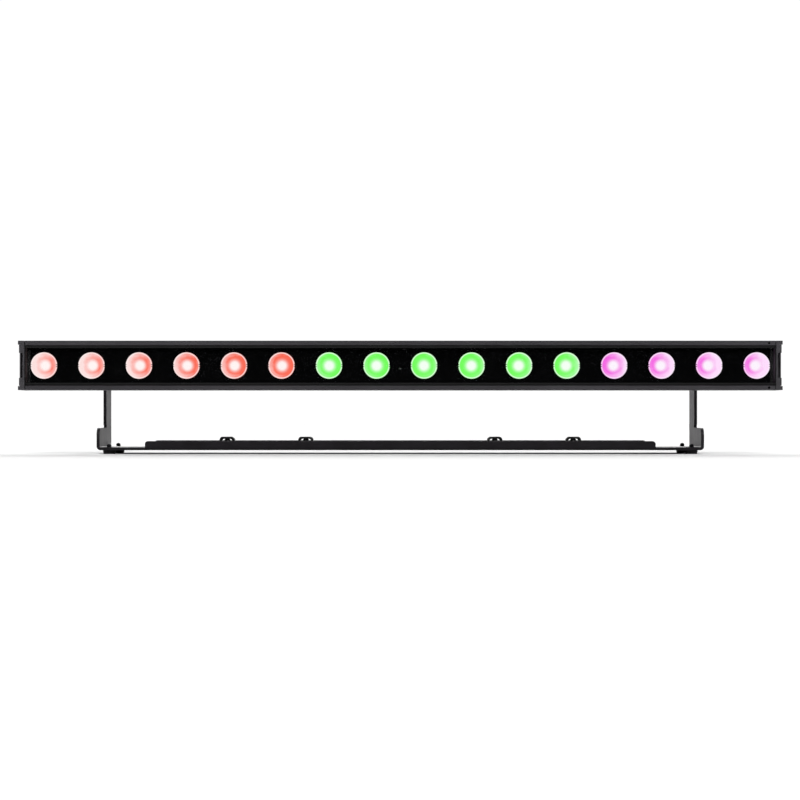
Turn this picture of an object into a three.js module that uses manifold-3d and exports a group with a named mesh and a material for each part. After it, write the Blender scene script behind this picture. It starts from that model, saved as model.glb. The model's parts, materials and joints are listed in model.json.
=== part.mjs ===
// LED strip batten: a one metre head with sixteen lenses on a floor-standing tilt yoke.
// Millimetres, +Z up, the light leaves towards -Y, the floor is Z = 0 and X = 0 is the middle.
import * as THREE from "three";
import { mergeVertices } from "three/addons/utils/BufferGeometryUtils.js";
import Module from "manifold-3d";

const wasm = await Module();
wasm.setup();

// ---- head ----
const FRONT_Y = -65.5; // plane of the front rims; depths below are measured back from it
const HEAD_Z = 117; // height of the lens row and of the tilt axis
const PROFILE_LENGTH = 987.2;
const HALF_HEIGHT = 32.5;
const HEAD_DEPTH = 68;
const WALL = 3;
const RIM_HEIGHT = 5.5;
const BEVEL_HEIGHT = 1.8;
const BEZEL_HEIGHT = 2.3;
const BEZEL_DEPTH = 2;
const LIP_DEPTH = 4.2; // back of the lip that holds the glass
const SLOT_END = 11.4; // back of the glass slot
const SLOT_HALF = 27.5;
const LEDGE_END = 13.2;
const LEDGE_HALF = 24;
const MID_WALL = [27, 31];
const CHAMBER_END = 57.5;
const FIN_ROOT = 60;
const FIN_PITCH = 7;
const FIN_THICKNESS = 2;
const REAR_HALF = 22; // half height of the rear face, behind the 45 degree shoulders
const RIM_HOLE_X = 485.4;
const RIM_HOLE_R = 1.35;
const RIM_HOLE_DEPTH = 10;

// ---- end caps ----
const CAP_FROM = 494.8;
const CAP_TO = 501.8;
const EAR_TO = 503.2;
const POCKET_HALF = 16.5; // half height of the side pocket
const POCKET_DEPTH = 0.9;
const SLOT_X = [497, 499.5];
const SLOT_DEPTH = 9;
const CAP_SCREW_AT = [[13, 25.5], [13, -25.5], [52, 23], [52, -23]];
const CAP_SCREW_R = 3.4;
const GASKET_X = [493.8, 494.6];

// ---- optics ----
const LENS_COUNT = 16;
const LENS_PITCH = 62.75;
const LENS_R = 17.35;
const LENS_FRONT = 9.3;
const LENS_BACK = 24.4;
const GLASS = [4.5, 7.5];
const SEAL = [7.7, 8.9];
const MASK = [9.2, 10.9];
const PANE_HALF = 26.8;
const PANE_LENGTH = 984;
const SENSOR_DROP = 4.5;
const SENSOR_R = 2;
const BOARD = [24.8, 26.6];
const BOARD_X = [0.8, 491];
const BOARD_HALF_Z = 21;
const EMITTER_HALF = 3.4;
const EMITTER_FRONT = 22.6;

// ---- electronics in the chamber ----
const SUPPLY_X = [-430, -200];
const SUPPLY_DEPTH = [33, 55];
const SUPPLY_HALF_Z = 21;
const TERMINAL_X = [-200.5, -184]; // connector block on the end of the power supply
const TERMINAL_COUNT = 5;
const TERMINAL_PITCH = 6;
const DRIVER_X = [190, 430];
const DRIVER_DEPTH = [33, 34.6];
const DRIVER_HALF_Z = 23;
const STAGE_COUNT = 4; // one output stage per colour, each with a chip and a capacitor
const STAGE_FROM = 215;
const STAGE_PITCH = 52;
const CHIP_HALF = 7;
const CAPACITOR_R = 5;

// ---- rear controls ----
const PANEL_HALF_X = 150;
const PANEL_HALF_Z = 18.5;
const PANEL = [65.8, 67.8];
const SOCKET_X = { power_inlet: 128, power_outlet: 94, data_inlet: -94, data_outlet: -128 };
const DISPLAY_HALF_X = 21;
const DISPLAY_Z = [1.5, 14.5];
const BUTTON_X = [18, 6, -6, -18];
const BUTTON_Z = -9;
const BUTTON_R = 3.5;
const VENT_X = 55;
const EYE_X = [229, 232]; // thickness of the upright ear of the safety eye
const EYE_FOOT_FROM = 214;
const EYE_FOOT = [68.2, 71.2];
const EYE_HALF = 12;
const EYE_HOLE_AT = 80;
const EYE_HOLE_R = 6;

// ---- yoke ----
const BASE = [16, 131]; // front and rear edge, measured back from the rims
const SHEET = 4;
const ARM_X = 402; // outer face of the arms
const WEB_Z = 5; // underside of the crossbar
const FLANGE_TOP = 17.1;
const FLANGE_HALF_X = 338;
const LOBE_TOP = 34.5;
const PIVOT = 106.5; // tilt axis, measured back from the rims
const ARM_HALF = 24.2;
const RELIEF_R = 2.2; // round relief where the front of an arm meets the lobe below it
const BEND_R = 5;
const EDGE_BEND_R = 4.5; // outer radius of the two folded long edges
const STOP_R = 12; // radius of the stop pin's arc
const STOP_REST = -45; // where the pin sits at rest, degrees from +Y towards +Z
const STOP_SPAN = [-110, 20];
const STOP_PIN_R = 2;
const STUD_R = 3.8;
const BRACKET_FOOT = [68.2, 71.4];
const BRACKET_FOOT_X = [366, 394];
const BRACKET_EAR_X = [392.8, 396];
const BRACKET_HALF = 19;
const BRACKET_EAR_R = 17;
const BRACKET_SCREW_X = 377;
const BRACKET_SCREW_Z = 12;
const BRACKET_SCREW_R = 2.6;
const FOOT_X = 386.7;
const FOOT_AT = [27, 120];
const FOOT_R = 8.4; // at the top; the foot narrows towards the floor
const FOOT_TAPER = 0.8;
const BOLT_R = 1.6;
const NUT_R = 3.2;
const RECEPTACLE_X = [-233.4, -127.4, 127.4, 233.4];
const RECEPTACLE_AT = 73.5;
const RECEPTACLE_HALF = 10.3;
const RECEPTACLE_TOP = 22.7;
const RECEPTACLE_BORE_R = 4.5;

const group = new THREE.Group();
group.name = "led_strip_batten";

// ---- tools ----
function solid(geometry) {
  const bare = geometry.clone();
  bare.deleteAttribute("normal");
  bare.deleteAttribute("uv");
  const merged = mergeVertices(bare, 1e-4);
  const vertProperties = new Float32Array(merged.attributes.position.array);
  const triVerts = new Uint32Array(merged.index.array);
  return new wasm.Manifold(new wasm.Mesh({ numProp: 3, vertProperties, triVerts }));
}

function addNode(name, body, look) {
  const made = body.getMesh();
  const geometry = new THREE.BufferGeometry();
  geometry.setAttribute("position", new THREE.BufferAttribute(made.vertProperties, 3));
  geometry.setIndex(new THREE.BufferAttribute(made.triVerts, 1));
  geometry.computeVertexNormals();
  const mesh = new THREE.Mesh(geometry, new THREE.MeshStandardMaterial(look));
  mesh.name = name;
  group.add(mesh);
}

function join(parts) {
  return parts.reduce((whole, part) => whole.add(part));
}

function cut(body, parts) {
  return parts.reduce((left, part) => left.subtract(part), body);
}

function box([x0, x1], [y0, y1], [z0, z1]) {
  const geometry = new THREE.BoxGeometry(x1 - x0, y1 - y0, z1 - z0);
  geometry.translate((x0 + x1) / 2, (y0 + y1) / 2, (z0 + z1) / 2);
  return solid(geometry);
}

// The points of a flat outline, running anticlockwise or clockwise as asked.
function wound(outline, clockwise) {
  const points = outline.map(([u, v]) => new THREE.Vector2(u, v));
  return THREE.ShapeUtils.isClockWise(points) === clockwise ? points : points.reverse();
}

// A flat outline pushed along one axis. The outline is in the other two axes, in X, Y, Z order.
function prism(axis, outline, from, to, holes = []) {
  const shape = new THREE.Shape(wound(outline, false));
  for (const hole of holes) {
    shape.holes.push(new THREE.Path(wound(hole, true)));
  }
  const geometry = new THREE.ExtrudeGeometry(shape, { depth: to - from, bevelEnabled: false, steps: 1 });
  const turn = new THREE.Matrix4();
  if (axis === "x") {
    turn.set(0, 0, 1, from, 1, 0, 0, 0, 0, 1, 0, 0, 0, 0, 0, 1);
  } else if (axis === "y") {
    turn.set(1, 0, 0, 0, 0, 0, -1, to, 0, 1, 0, 0, 0, 0, 0, 1);
  } else {
    turn.makeTranslation(0, 0, from);
  }
  geometry.applyMatrix4(turn);
  return solid(geometry);
}

// A profile of [radius, height] pairs turned about an axis through [x, y, z].
function turned(axis, at, profile, segments) {
  const points = profile.map(([r, h]) => new THREE.Vector2(r, h));
  const geometry = new THREE.LatheGeometry(points, segments);
  if (axis === "x") {
    geometry.rotateZ(-Math.PI / 2);
  } else if (axis === "z") {
    geometry.rotateX(Math.PI / 2);
  }
  geometry.translate(...at);
  return solid(geometry);
}

// A plain round bar or hole between two heights along an axis.
function rod(axis, at, r, from, to, segments) {
  return turned(axis, at, [[0, from], [r, from], [r, to], [0, to]], segments);
}

function arc(cx, cy, r, from, to, steps) {
  const points = [];
  for (let i = 0; i <= steps; i++) {
    const a = ((from + ((to - from) * i) / steps) * Math.PI) / 180;
    points.push([cx + r * Math.cos(a), cy + r * Math.sin(a)]);
  }
  return points;
}

// Depth behind the rims to Y, and height above the lens row to Z.
function depth(d) {
  return FRONT_Y + d;
}

function inHead(points) {
  return points.map(([d, z]) => [depth(d), HEAD_Z + z]);
}

function mirrored(points) {
  return points.map(([d, z]) => [d, -z]).reverse();
}

function lensX(i) {
  return (i - (LENS_COUNT - 1) / 2) * LENS_PITCH;
}

// ---- looks ----
const BLACK_METAL = { color: 0x2b2b2e, roughness: 0.45, metalness: 0.6 };
const CAST_METAL = { color: 0x29292b, roughness: 0.55, metalness: 0.5 };
const POWDER_COAT = { color: 0x333336, roughness: 0.6, metalness: 0.3 };
const BLACK_RUBBER = { color: 0x111112, roughness: 0.9, metalness: 0 };
const CLEAR_GLASS = { color: 0xe8f0f2, roughness: 0.05, metalness: 0, transparent: true, opacity: 0.2 };
const MASK_BLACK = { color: 0x050506, roughness: 0.3, metalness: 0 };
const RED_LIGHT = { color: 0xff8a80, roughness: 0.3, metalness: 0, emissive: 0xff6a60 };
const GREEN_LIGHT = { color: 0x70f070, roughness: 0.3, metalness: 0, emissive: 0x50f050 };
const PINK_LIGHT = { color: 0xf080f0, roughness: 0.3, metalness: 0, emissive: 0xf060f0 };
const BOARD_WHITE = { color: 0xd8dad8, roughness: 0.5, metalness: 0.1 };
const BOARD_GREEN = { color: 0x1f5a36, roughness: 0.5, metalness: 0 };
const BARE_METAL = { color: 0xb4b6b8, roughness: 0.35, metalness: 0.9 };
const BLACK_PLASTIC = { color: 0x161618, roughness: 0.5, metalness: 0 };
const ZINC = { color: 0x8c8e90, roughness: 0.4, metalness: 0.9 };

// ---- head ----
function rimProfile() {
  const rimEdge = HALF_HEIGHT - RIM_HEIGHT;
  const bevelEdge = rimEdge - BEVEL_HEIGHT;
  const bezelEdge = bevelEdge - BEZEL_HEIGHT;
  return [
    [MID_WALL[0], HALF_HEIGHT - WALL],
    [LEDGE_END, HALF_HEIGHT - WALL],
    [LEDGE_END, LEDGE_HALF],
    [SLOT_END, LEDGE_HALF],
    [SLOT_END, SLOT_HALF],
    [LIP_DEPTH, SLOT_HALF],
    [LIP_DEPTH, bezelEdge],
    [BEZEL_DEPTH, bezelEdge],
    [BEZEL_DEPTH, bevelEdge],
    [0, rimEdge],
    [0, HALF_HEIGHT - 0.6],
    [0.6, HALF_HEIGHT],
  ];
}

function finProfile() {
  const points = [];
  for (let z = REAR_HALF - FIN_THICKNESS; z > 0; z -= FIN_PITCH) {
    const next = z - FIN_PITCH + FIN_THICKNESS;
    points.push([HEAD_DEPTH, z], [FIN_ROOT, z], [FIN_ROOT, next], [HEAD_DEPTH, next]);
  }
  return points;
}

function shoulder() {
  return [[HEAD_DEPTH - (HALF_HEIGHT - REAR_HALF), HALF_HEIGHT], [HEAD_DEPTH, REAR_HALF]];
}

function housing() {
  const top = [...rimProfile(), ...shoulder(), ...finProfile()];
  const outline = inHead([...top, ...mirrored(top)]);
  const inner = HALF_HEIGHT - WALL;
  const chamber = inHead([
    [MID_WALL[1], -inner],
    [CHAMBER_END - WALL, -inner],
    [CHAMBER_END, WALL - inner],
    [CHAMBER_END, inner - WALL],
    [CHAMBER_END - WALL, inner],
    [MID_WALL[1], inner],
  ]);
  const body = prism("x", outline, -PROFILE_LENGTH / 2, PROFILE_LENGTH / 2);
  const hollow = prism("x", chamber, -PROFILE_LENGTH / 2 - 1, PROFILE_LENGTH / 2 + 1);
  const recess = box(
    [-PANEL_HALF_X - 0.4, PANEL_HALF_X + 0.4],
    [depth(FIN_ROOT), depth(HEAD_DEPTH) + 1],
    [HEAD_Z - PANEL_HALF_Z - 0.5, HEAD_Z + PANEL_HALF_Z + 0.5],
  );
  const window = box(
    [-PANEL_HALF_X + 6, PANEL_HALF_X - 6],
    [depth(CHAMBER_END) - 1, depth(FIN_ROOT) + 1],
    [HEAD_Z - 15, HEAD_Z + 15],
  );
  const holeZ = HALF_HEIGHT - RIM_HEIGHT / 2 - 0.4;
  const holes = [1, -1].map((side) =>
    rod("y", [RIM_HOLE_X, FRONT_Y, HEAD_Z + side * holeZ], RIM_HOLE_R, -1, RIM_HOLE_DEPTH, 12),
  );
  return cut(body, [hollow, recess, window, ...holes]);
}

function capOutline() {
  const half = [[0, HALF_HEIGHT - 0.6], [0.6, HALF_HEIGHT], ...shoulder()];
  return inHead([...half, ...mirrored(half)]);
}

// Built for the +X end, then turned to the side asked for.
function onSide(side, make) {
  const body = make();
  return side > 0 ? body : body.mirror([1, 0, 0]);
}

function endCap() {
  const plate = prism("x", capOutline(), CAP_FROM, EAR_TO);
  const trims = [];
  const reach = [FRONT_Y - 1, depth(HEAD_DEPTH) + 1];
  const earEdge = HALF_HEIGHT - RIM_HEIGHT;
  trims.push(box([CAP_TO, EAR_TO + 1], reach, [HEAD_Z - earEdge, HEAD_Z + earEdge]));
  trims.push(
    box([CAP_TO - POCKET_DEPTH, EAR_TO + 1], reach, [HEAD_Z - POCKET_HALF, HEAD_Z + POCKET_HALF]),
  );
  trims.push(
    box(SLOT_X, [FRONT_Y - 1, depth(SLOT_DEPTH)], [HEAD_Z - POCKET_HALF, HEAD_Z + POCKET_HALF]),
  );
  for (const side of [1, -1]) {
    const z = HEAD_Z + side * earEdge;
    trims.push(box([CAP_TO - 1, EAR_TO + 1], [FRONT_Y - 1, depth(SLOT_DEPTH)], [z - 0.35, z + 0.35]));
  }
  for (const [d, z] of CAP_SCREW_AT) {
    trims.push(rod("x", [0, depth(d), HEAD_Z + z], CAP_SCREW_R, CAP_TO - 3, EAR_TO + 1, 14));
  }
  return cut(plate, trims);
}

function insetOutline(by) {
  const half = [
    [by, HALF_HEIGHT - by],
    [HEAD_DEPTH - (HALF_HEIGHT - REAR_HALF) - by / 2, HALF_HEIGHT - by],
    [HEAD_DEPTH - by, REAR_HALF - by / 2],
  ];
  return inHead([...half, ...mirrored(half)]);
}

function endGasket() {
  const [from, to] = GASKET_X;
  const whole = prism("x", insetOutline(0.7), from, to);
  return whole.subtract(prism("x", insetOutline(4.5), from - 1, to + 1));
}

function pane([front, back], halfX, halfZ) {
  return box([-halfX, halfX], [depth(front), depth(back)], [HEAD_Z - halfZ, HEAD_Z + halfZ]);
}

function glassGasket() {
  const frame = pane(SEAL, PANE_LENGTH / 2, PANE_HALF);
  return frame.subtract(pane([SEAL[0] - 1, SEAL[1] + 1], PANE_LENGTH / 2 - 4, PANE_HALF - 3.6));
}

function lensMask() {
  const holes = [];
  for (let i = 0; i < LENS_COUNT; i++) {
    holes.push(arc(lensX(i), HEAD_Z, LENS_R + 0.4, 360 / 24, 360, 23));
  }
  holes.push(arc(0, HEAD_Z - SENSOR_DROP, SENSOR_R + 0.3, 30, 360, 11));
  const outline = [
    [-PANE_LENGTH / 2, HEAD_Z - PANE_HALF],
    [PANE_LENGTH / 2, HEAD_Z - PANE_HALF],
    [PANE_LENGTH / 2, HEAD_Z + PANE_HALF],
    [-PANE_LENGTH / 2, HEAD_Z + PANE_HALF],
  ];
  return prism("y", outline, depth(MASK[0]), depth(MASK[1]), holes);
}

function lens(i) {
  const profile = [
    [0, 18.6],
    [7.2, 18.6],
    [LENS_R - 1.15, LENS_FRONT],
    [LENS_R, LENS_FRONT],
    [LENS_R, 11.6],
    [7.6, LENS_BACK],
    [5.8, LENS_BACK],
    [5.8, 20.8],
    [0, 20.8],
  ];
  return turned("y", [lensX(i), FRONT_Y, HEAD_Z], profile, 20);
}

function statusSensor() {
  const profile = [[0, 8.6], [1.2, 8.8], [SENSOR_R, 9.6], [SENSOR_R, 24.4], [0, 24.4]];
  return turned("y", [0, FRONT_Y, HEAD_Z - SENSOR_DROP], profile, 12);
}

function ledBoard(side) {
  const [inner, outer] = BOARD_X;
  const x = side > 0 ? [inner, outer] : [-outer, -inner];
  const z = [HEAD_Z - BOARD_HALF_Z, HEAD_Z + BOARD_HALF_Z];
  const parts = [box(x, BOARD.map(depth), z)];
  const emitterY = [depth(EMITTER_FRONT), depth(BOARD[0]) + 0.1];
  for (let i = 0; i < LENS_COUNT; i++) {
    const at = lensX(i);
    if (Math.sign(at) === side) {
      const emitterZ = [HEAD_Z - EMITTER_HALF, HEAD_Z + EMITTER_HALF];
      parts.push(box([at - EMITTER_HALF, at + EMITTER_HALF], emitterY, emitterZ));
    }
  }
  return join(parts);
}

// A metal case with a finned connector block on its inner end.
function powerSupply() {
  const y = SUPPLY_DEPTH.map(depth);
  const parts = [box(SUPPLY_X, y, [HEAD_Z - SUPPLY_HALF_Z, HEAD_Z + SUPPLY_HALF_Z])];
  parts.push(box(TERMINAL_X, [y[0] + 3, y[1] - 7], [HEAD_Z - 17, HEAD_Z + 17]));
  for (let i = 0; i < TERMINAL_COUNT; i++) {
    const z = HEAD_Z + (i - (TERMINAL_COUNT - 1) / 2) * TERMINAL_PITCH;
    const x = [TERMINAL_X[0] + 2.5, TERMINAL_X[1] + 1];
    parts.push(box(x, [y[0] + 2, y[1] - 6], [z - 0.6, z + 0.6]));
  }
  return join(parts);
}

function driverBoard() {
  const y = DRIVER_DEPTH.map(depth);
  const parts = [box(DRIVER_X, y, [HEAD_Z - DRIVER_HALF_Z, HEAD_Z + DRIVER_HALF_Z])];
  const face = y[1] - 0.1;
  for (let i = 0; i < STAGE_COUNT; i++) {
    const x = STAGE_FROM + i * STAGE_PITCH;
    parts.push(box([x - CHIP_HALF, x + CHIP_HALF], [face, depth(37)], [HEAD_Z - 15, HEAD_Z - 5]));
    parts.push(rod("y", [x, 0, HEAD_Z + 10], CAPACITOR_R, face, depth(50), 12));
  }
  parts.push(box([392, 424], [face, depth(43)], [HEAD_Z - 8, HEAD_Z + 8]));
  return join(parts);
}

// ---- rear controls ----
function rearPanel() {
  const outline = [
    [-PANEL_HALF_X, HEAD_Z - PANEL_HALF_Z],
    [PANEL_HALF_X, HEAD_Z - PANEL_HALF_Z],
    [PANEL_HALF_X, HEAD_Z + PANEL_HALF_Z],
    [-PANEL_HALF_X, HEAD_Z + PANEL_HALF_Z],
  ];
  const holes = Object.values(SOCKET_X).map((x) => arc(x, HEAD_Z, 12, 18, 360, 19));
  for (const x of BUTTON_X) {
    holes.push(arc(x, HEAD_Z + BUTTON_Z, BUTTON_R + 0.4, 30, 360, 11));
  }
  holes.push(arc(VENT_X, HEAD_Z, 5.4, 30, 360, 11));
  const [low, high] = DISPLAY_Z;
  holes.push([
    [-DISPLAY_HALF_X - 0.3, HEAD_Z + low - 0.3],
    [DISPLAY_HALF_X + 0.3, HEAD_Z + low - 0.3],
    [DISPLAY_HALF_X + 0.3, HEAD_Z + high + 0.3],
    [-DISPLAY_HALF_X - 0.3, HEAD_Z + high + 0.3],
  ]);
  return prism("y", outline, depth(PANEL[0]), depth(PANEL[1]), holes);
}

function displayWindow() {
  const z = DISPLAY_Z.map((v) => HEAD_Z + v);
  const face = box([-DISPLAY_HALF_X, DISPLAY_HALF_X], [depth(62), depth(68.3)], z);
  const backing = box([-26, 26], [depth(61), depth(64.8)], [HEAD_Z - 1, HEAD_Z + 14.8]);
  return face.add(backing);
}

function menuButton(x) {
  const profile = [
    [0, 62.2],
    [BUTTON_R + 1.2, 62.2],
    [BUTTON_R + 1.2, 63.4],
    [BUTTON_R, 63.4],
    [BUTTON_R, 69.2],
    [BUTTON_R - 0.8, 69.9],
    [0, 69.9],
  ];
  return turned("y", [x, FRONT_Y, HEAD_Z + BUTTON_Z], profile, 14);
}

function socket(x) {
  const barrel = [
    [0, 47],
    [11.5, 47],
    [11.5, 73],
    [10.7, 74],
    [9.2, 74],
    [9.2, 58],
    [0, 58],
  ];
  const body = turned("y", [x, FRONT_Y, HEAD_Z], barrel, 20);
  const plate = box([x - 13, x + 13], [depth(68), depth(70.4)], [HEAD_Z - 15.5, HEAD_Z + 15.5]);
  const mouth = rod("y", [x, FRONT_Y, HEAD_Z], 9.2, 58, 76, 20);
  return body.add(plate.subtract(mouth));
}

function ventPlug() {
  const stem = rod("y", [VENT_X, FRONT_Y, HEAD_Z], 5, 61.5, 69, 14);
  const head = prism("y", arc(VENT_X, HEAD_Z, 8, 60, 360, 5), depth(68), depth(71.5));
  const cap = rod("y", [VENT_X, FRONT_Y, HEAD_Z], 6, 71, 74, 14);
  return join([stem, head, cap]);
}

function safetyEye() {
  const z = [HEAD_Z - EYE_HALF, HEAD_Z + EYE_HALF];
  const foot = box([EYE_FOOT_FROM, EYE_X[1]], EYE_FOOT.map(depth), z);
  const root = depth(EYE_FOOT[0]);
  const outline = [
    [root, z[0]],
    [depth(EYE_HOLE_AT - 4), z[0]],
    ...arc(depth(EYE_HOLE_AT - 2), HEAD_Z, EYE_HALF, -70, 70, 8),
    [depth(EYE_HOLE_AT - 4), z[1]],
    [root, z[1]],
  ];
  const ear = prism("x", outline, ...EYE_X);
  const hole = rod("x", [0, depth(EYE_HOLE_AT), HEAD_Z], EYE_HOLE_R, EYE_X[0] - 3, EYE_X[1] + 2, 16);
  return foot.add(ear).subtract(hole);
}

function stopPoint(angle) {
  const a = (angle * Math.PI) / 180;
  return [depth(PIVOT) + STOP_R * Math.cos(a), HEAD_Z + STOP_R * Math.sin(a)];
}

function pivotBracket() {
  const y0 = depth(BRACKET_FOOT[0]);
  const half = BRACKET_HALF;
  const foot = box(BRACKET_FOOT_X, BRACKET_FOOT.map(depth), [HEAD_Z - half, HEAD_Z + half]);
  const earOutline = [
    [y0, HEAD_Z - half],
    ...arc(depth(PIVOT), HEAD_Z, BRACKET_EAR_R, -95, 95, 14),
    [y0, HEAD_Z + half],
  ];
  const ear = prism("x", earOutline, ...BRACKET_EAR_X);
  const [y, z] = stopPoint(STOP_REST);
  const pin = rod("x", [0, y, z], STOP_PIN_R, BRACKET_EAR_X[1] - 1, ARM_X - 0.4, 12);
  const bore = rod("x", [0, depth(PIVOT), HEAD_Z], STUD_R + 0.3, 390, 398, 20);
  const screws = [1, -1].map((way) => {
    const at = [BRACKET_SCREW_X, 0, HEAD_Z + way * BRACKET_SCREW_Z];
    return rod("y", at, BRACKET_SCREW_R, y0 - 1, depth(BRACKET_FOOT[1]) + 0.6, 10);
  });
  return cut(join([foot, ear, pin]), [bore, ...screws]);
}

// ---- yoke ----
function bentStrip() {
  const outer = [
    [-ARM_X, 160],
    ...arc(-ARM_X + BEND_R, WEB_Z + BEND_R, BEND_R, 180, 270, 5),
    ...arc(ARM_X - BEND_R, WEB_Z + BEND_R, BEND_R, 270, 360, 5),
    [ARM_X, 160],
  ];
  const inner = [
    [ARM_X - SHEET, 160],
    ...arc(ARM_X - BEND_R, WEB_Z + BEND_R, BEND_R - SHEET, 360, 270, 3),
    ...arc(-ARM_X + BEND_R, WEB_Z + BEND_R, BEND_R - SHEET, 270, 180, 3),
    [-ARM_X + SHEET, 160],
  ];
  return prism("y", [...outer, ...inner], depth(BASE[0]), depth(BASE[1]));
}

function sideOutline() {
  const front = depth(BASE[0]);
  const rear = depth(BASE[1]);
  const armFront = depth(PIVOT - ARM_HALF);
  const armRear = depth(PIVOT + ARM_HALF);
  return [
    [front, 0],
    [rear, 0],
    [rear, LOBE_TOP],
    [armRear, LOBE_TOP + 3],
    ...arc(depth(PIVOT), HEAD_Z, ARM_HALF, 0, 180, 18),
    [armFront, LOBE_TOP],
    ...arc(front + 11, LOBE_TOP - 11, 11, 90, 180, 6),
  ];
}

// The middle of the crossbar: a channel with both long edges folded up.
function channel() {
  const front = depth(BASE[0]);
  const rear = depth(BASE[1]);
  const r = EDGE_BEND_R;
  const section = [
    ...arc(front + r, WEB_Z + r, r, 180, 270, 4),
    ...arc(rear - r, WEB_Z + r, r, 270, 360, 4),
    [rear, FLANGE_TOP],
    [rear - SHEET, FLANGE_TOP],
    [rear - SHEET, WEB_Z + SHEET],
    [front + SHEET, WEB_Z + SHEET],
    [front + SHEET, FLANGE_TOP],
    [front, FLANGE_TOP],
  ];
  const bar = prism("x", section, -FLANGE_HALF_X, FLANGE_HALF_X);
  const ends = [
    [-FLANGE_HALF_X, 0],
    [FLANGE_HALF_X, 0],
    ...arc(FLANGE_HALF_X - 4, FLANGE_TOP - 4, 4, 0, 90, 4),
    ...arc(-FLANGE_HALF_X + 4, FLANGE_TOP - 4, 4, 90, 180, 4),
  ];
  return bar.intersect(prism("y", ends, front - 1, rear + 1));
}

function stopSlot(side) {
  const from = STOP_REST + STOP_SPAN[0];
  const to = STOP_REST + STOP_SPAN[1];
  const r = STOP_PIN_R + 0.3;
  const [ay, az] = stopPoint(from);
  const [by, bz] = stopPoint(to);
  const outline = [
    ...arc(depth(PIVOT), HEAD_Z, STOP_R + r, from, to, 20),
    ...arc(by, bz, r, to, to + 180, 6).slice(1, -1),
    ...arc(depth(PIVOT), HEAD_Z, STOP_R - r, to, from, 20),
    ...arc(ay, az, r, from + 180, from + 360, 6).slice(1, -1),
  ];
  const x = side * (ARM_X - SHEET / 2);
  return prism("x", outline, x - SHEET, x + SHEET);
}

function footPlaces() {
  const places = [];
  for (const side of [-1, 1]) {
    for (const d of FOOT_AT) {
      places.push([side * FOOT_X, depth(d)]);
    }
  }
  return places;
}

function yoke() {
  const strip = bentStrip().intersect(prism("x", sideOutline(), -ARM_X - 1, ARM_X + 1));
  const middle = box(
    [-FLANGE_HALF_X + 0.5, FLANGE_HALF_X - 0.5],
    [depth(BASE[0]) - 1, depth(BASE[1]) + 1],
    [0, 20],
  );
  const frame = strip.subtract(middle).add(channel());
  const holes = [];
  for (const side of [-1, 1]) {
    holes.push(stopSlot(side));
    const x = side * (ARM_X - SHEET / 2);
    holes.push(rod("x", [x, depth(PIVOT), HEAD_Z], STUD_R + 0.4, -SHEET, SHEET, 20));
    const corner = [x, depth(PIVOT - ARM_HALF + 0.6), LOBE_TOP + RELIEF_R];
    holes.push(rod("x", corner, RELIEF_R, -SHEET, SHEET, 14));
  }
  for (const [x, y] of footPlaces()) {
    holes.push(rod("z", [x, y, 0], BOLT_R + 0.4, 0, FLANGE_TOP + 3, 12));
  }
  for (const x of RECEPTACLE_X) {
    holes.push(rod("z", [x, depth(RECEPTACLE_AT), 0], RECEPTACLE_BORE_R, 0, FLANGE_TOP + 3, 16));
  }
  return cut(frame, holes);
}

function rubberFoot([x, y]) {
  const bore = BOLT_R + 0.4;
  const profile = [
    [bore, 2.6],
    [4.8, 2.6],
    [4.8, 0],
    [FOOT_R - FOOT_TAPER - 0.3, 0],
    [FOOT_R - FOOT_TAPER, 0.4],
    [FOOT_R, 4.3],
    [FOOT_R, 4.8],
    [bore, 4.8],
    [bore, 2.6],
  ];
  return turned("z", [x, y, 0], profile, 20);
}

function footBolt([x, y]) {
  const profile = [[0, 0.8], [4.2, 0.8], [3.4, 2.5], [BOLT_R, 2.5], [BOLT_R, 13.6], [0, 13.6]];
  const shank = turned("z", [x, y, 0], profile, 12);
  const nut = prism("z", arc(x, y, NUT_R, 60, 360, 5), 9.2, 12);
  const collar = turned("z", [x, y, 0], [[0, 11.9], [2.7, 11.9], [2.7, 12.7], [2.2, 13.1], [0, 13.1]], 12);
  return join([shank, nut, collar]);
}

function clampReceptacle(x) {
  const y = depth(RECEPTACLE_AT);
  const low = WEB_Z + SHEET + 0.2;
  const half = RECEPTACLE_HALF;
  const top = RECEPTACLE_TOP;
  const outer = [
    [x - half, low],
    [x + half, low],
    ...arc(x + half - 4.6, top - 4.6, 4.6, 0, 90, 4),
    ...arc(x - half + 4.6, top - 4.6, 4.6, 90, 180, 4),
  ];
  const gap = [
    [x - half + 2.8, low + 1.6],
    [x + half - 2.8, low + 1.6],
    ...arc(x + half - 5.8, top - 5.2, 2.5, 0, 90, 3),
    ...arc(x - half + 5.8, top - 5.2, 2.5, 90, 180, 3),
  ];
  const arch = prism("y", outer, y - 7, y + 7, [gap]);
  const socketWall = [[0, low], [4.6, low], [4.6, 16], [3.6, 18], [2, 19.4], [2, top - 1], [0, top - 1]];
  const boss = turned("z", [x, y, 0], socketWall, 14);
  const bore = rod("z", [x, y, 0], 3.3, low - 1, 15.4, 12);
  return arch.add(boss).subtract(bore);
}

function pivotWasher() {
  const ring = [[4.2, 396.2], [9.2, 396.2], [9.2, 397.8], [4.2, 397.8], [4.2, 396.2]];
  return turned("x", [0, depth(PIVOT), HEAD_Z], ring, 20);
}

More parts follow.
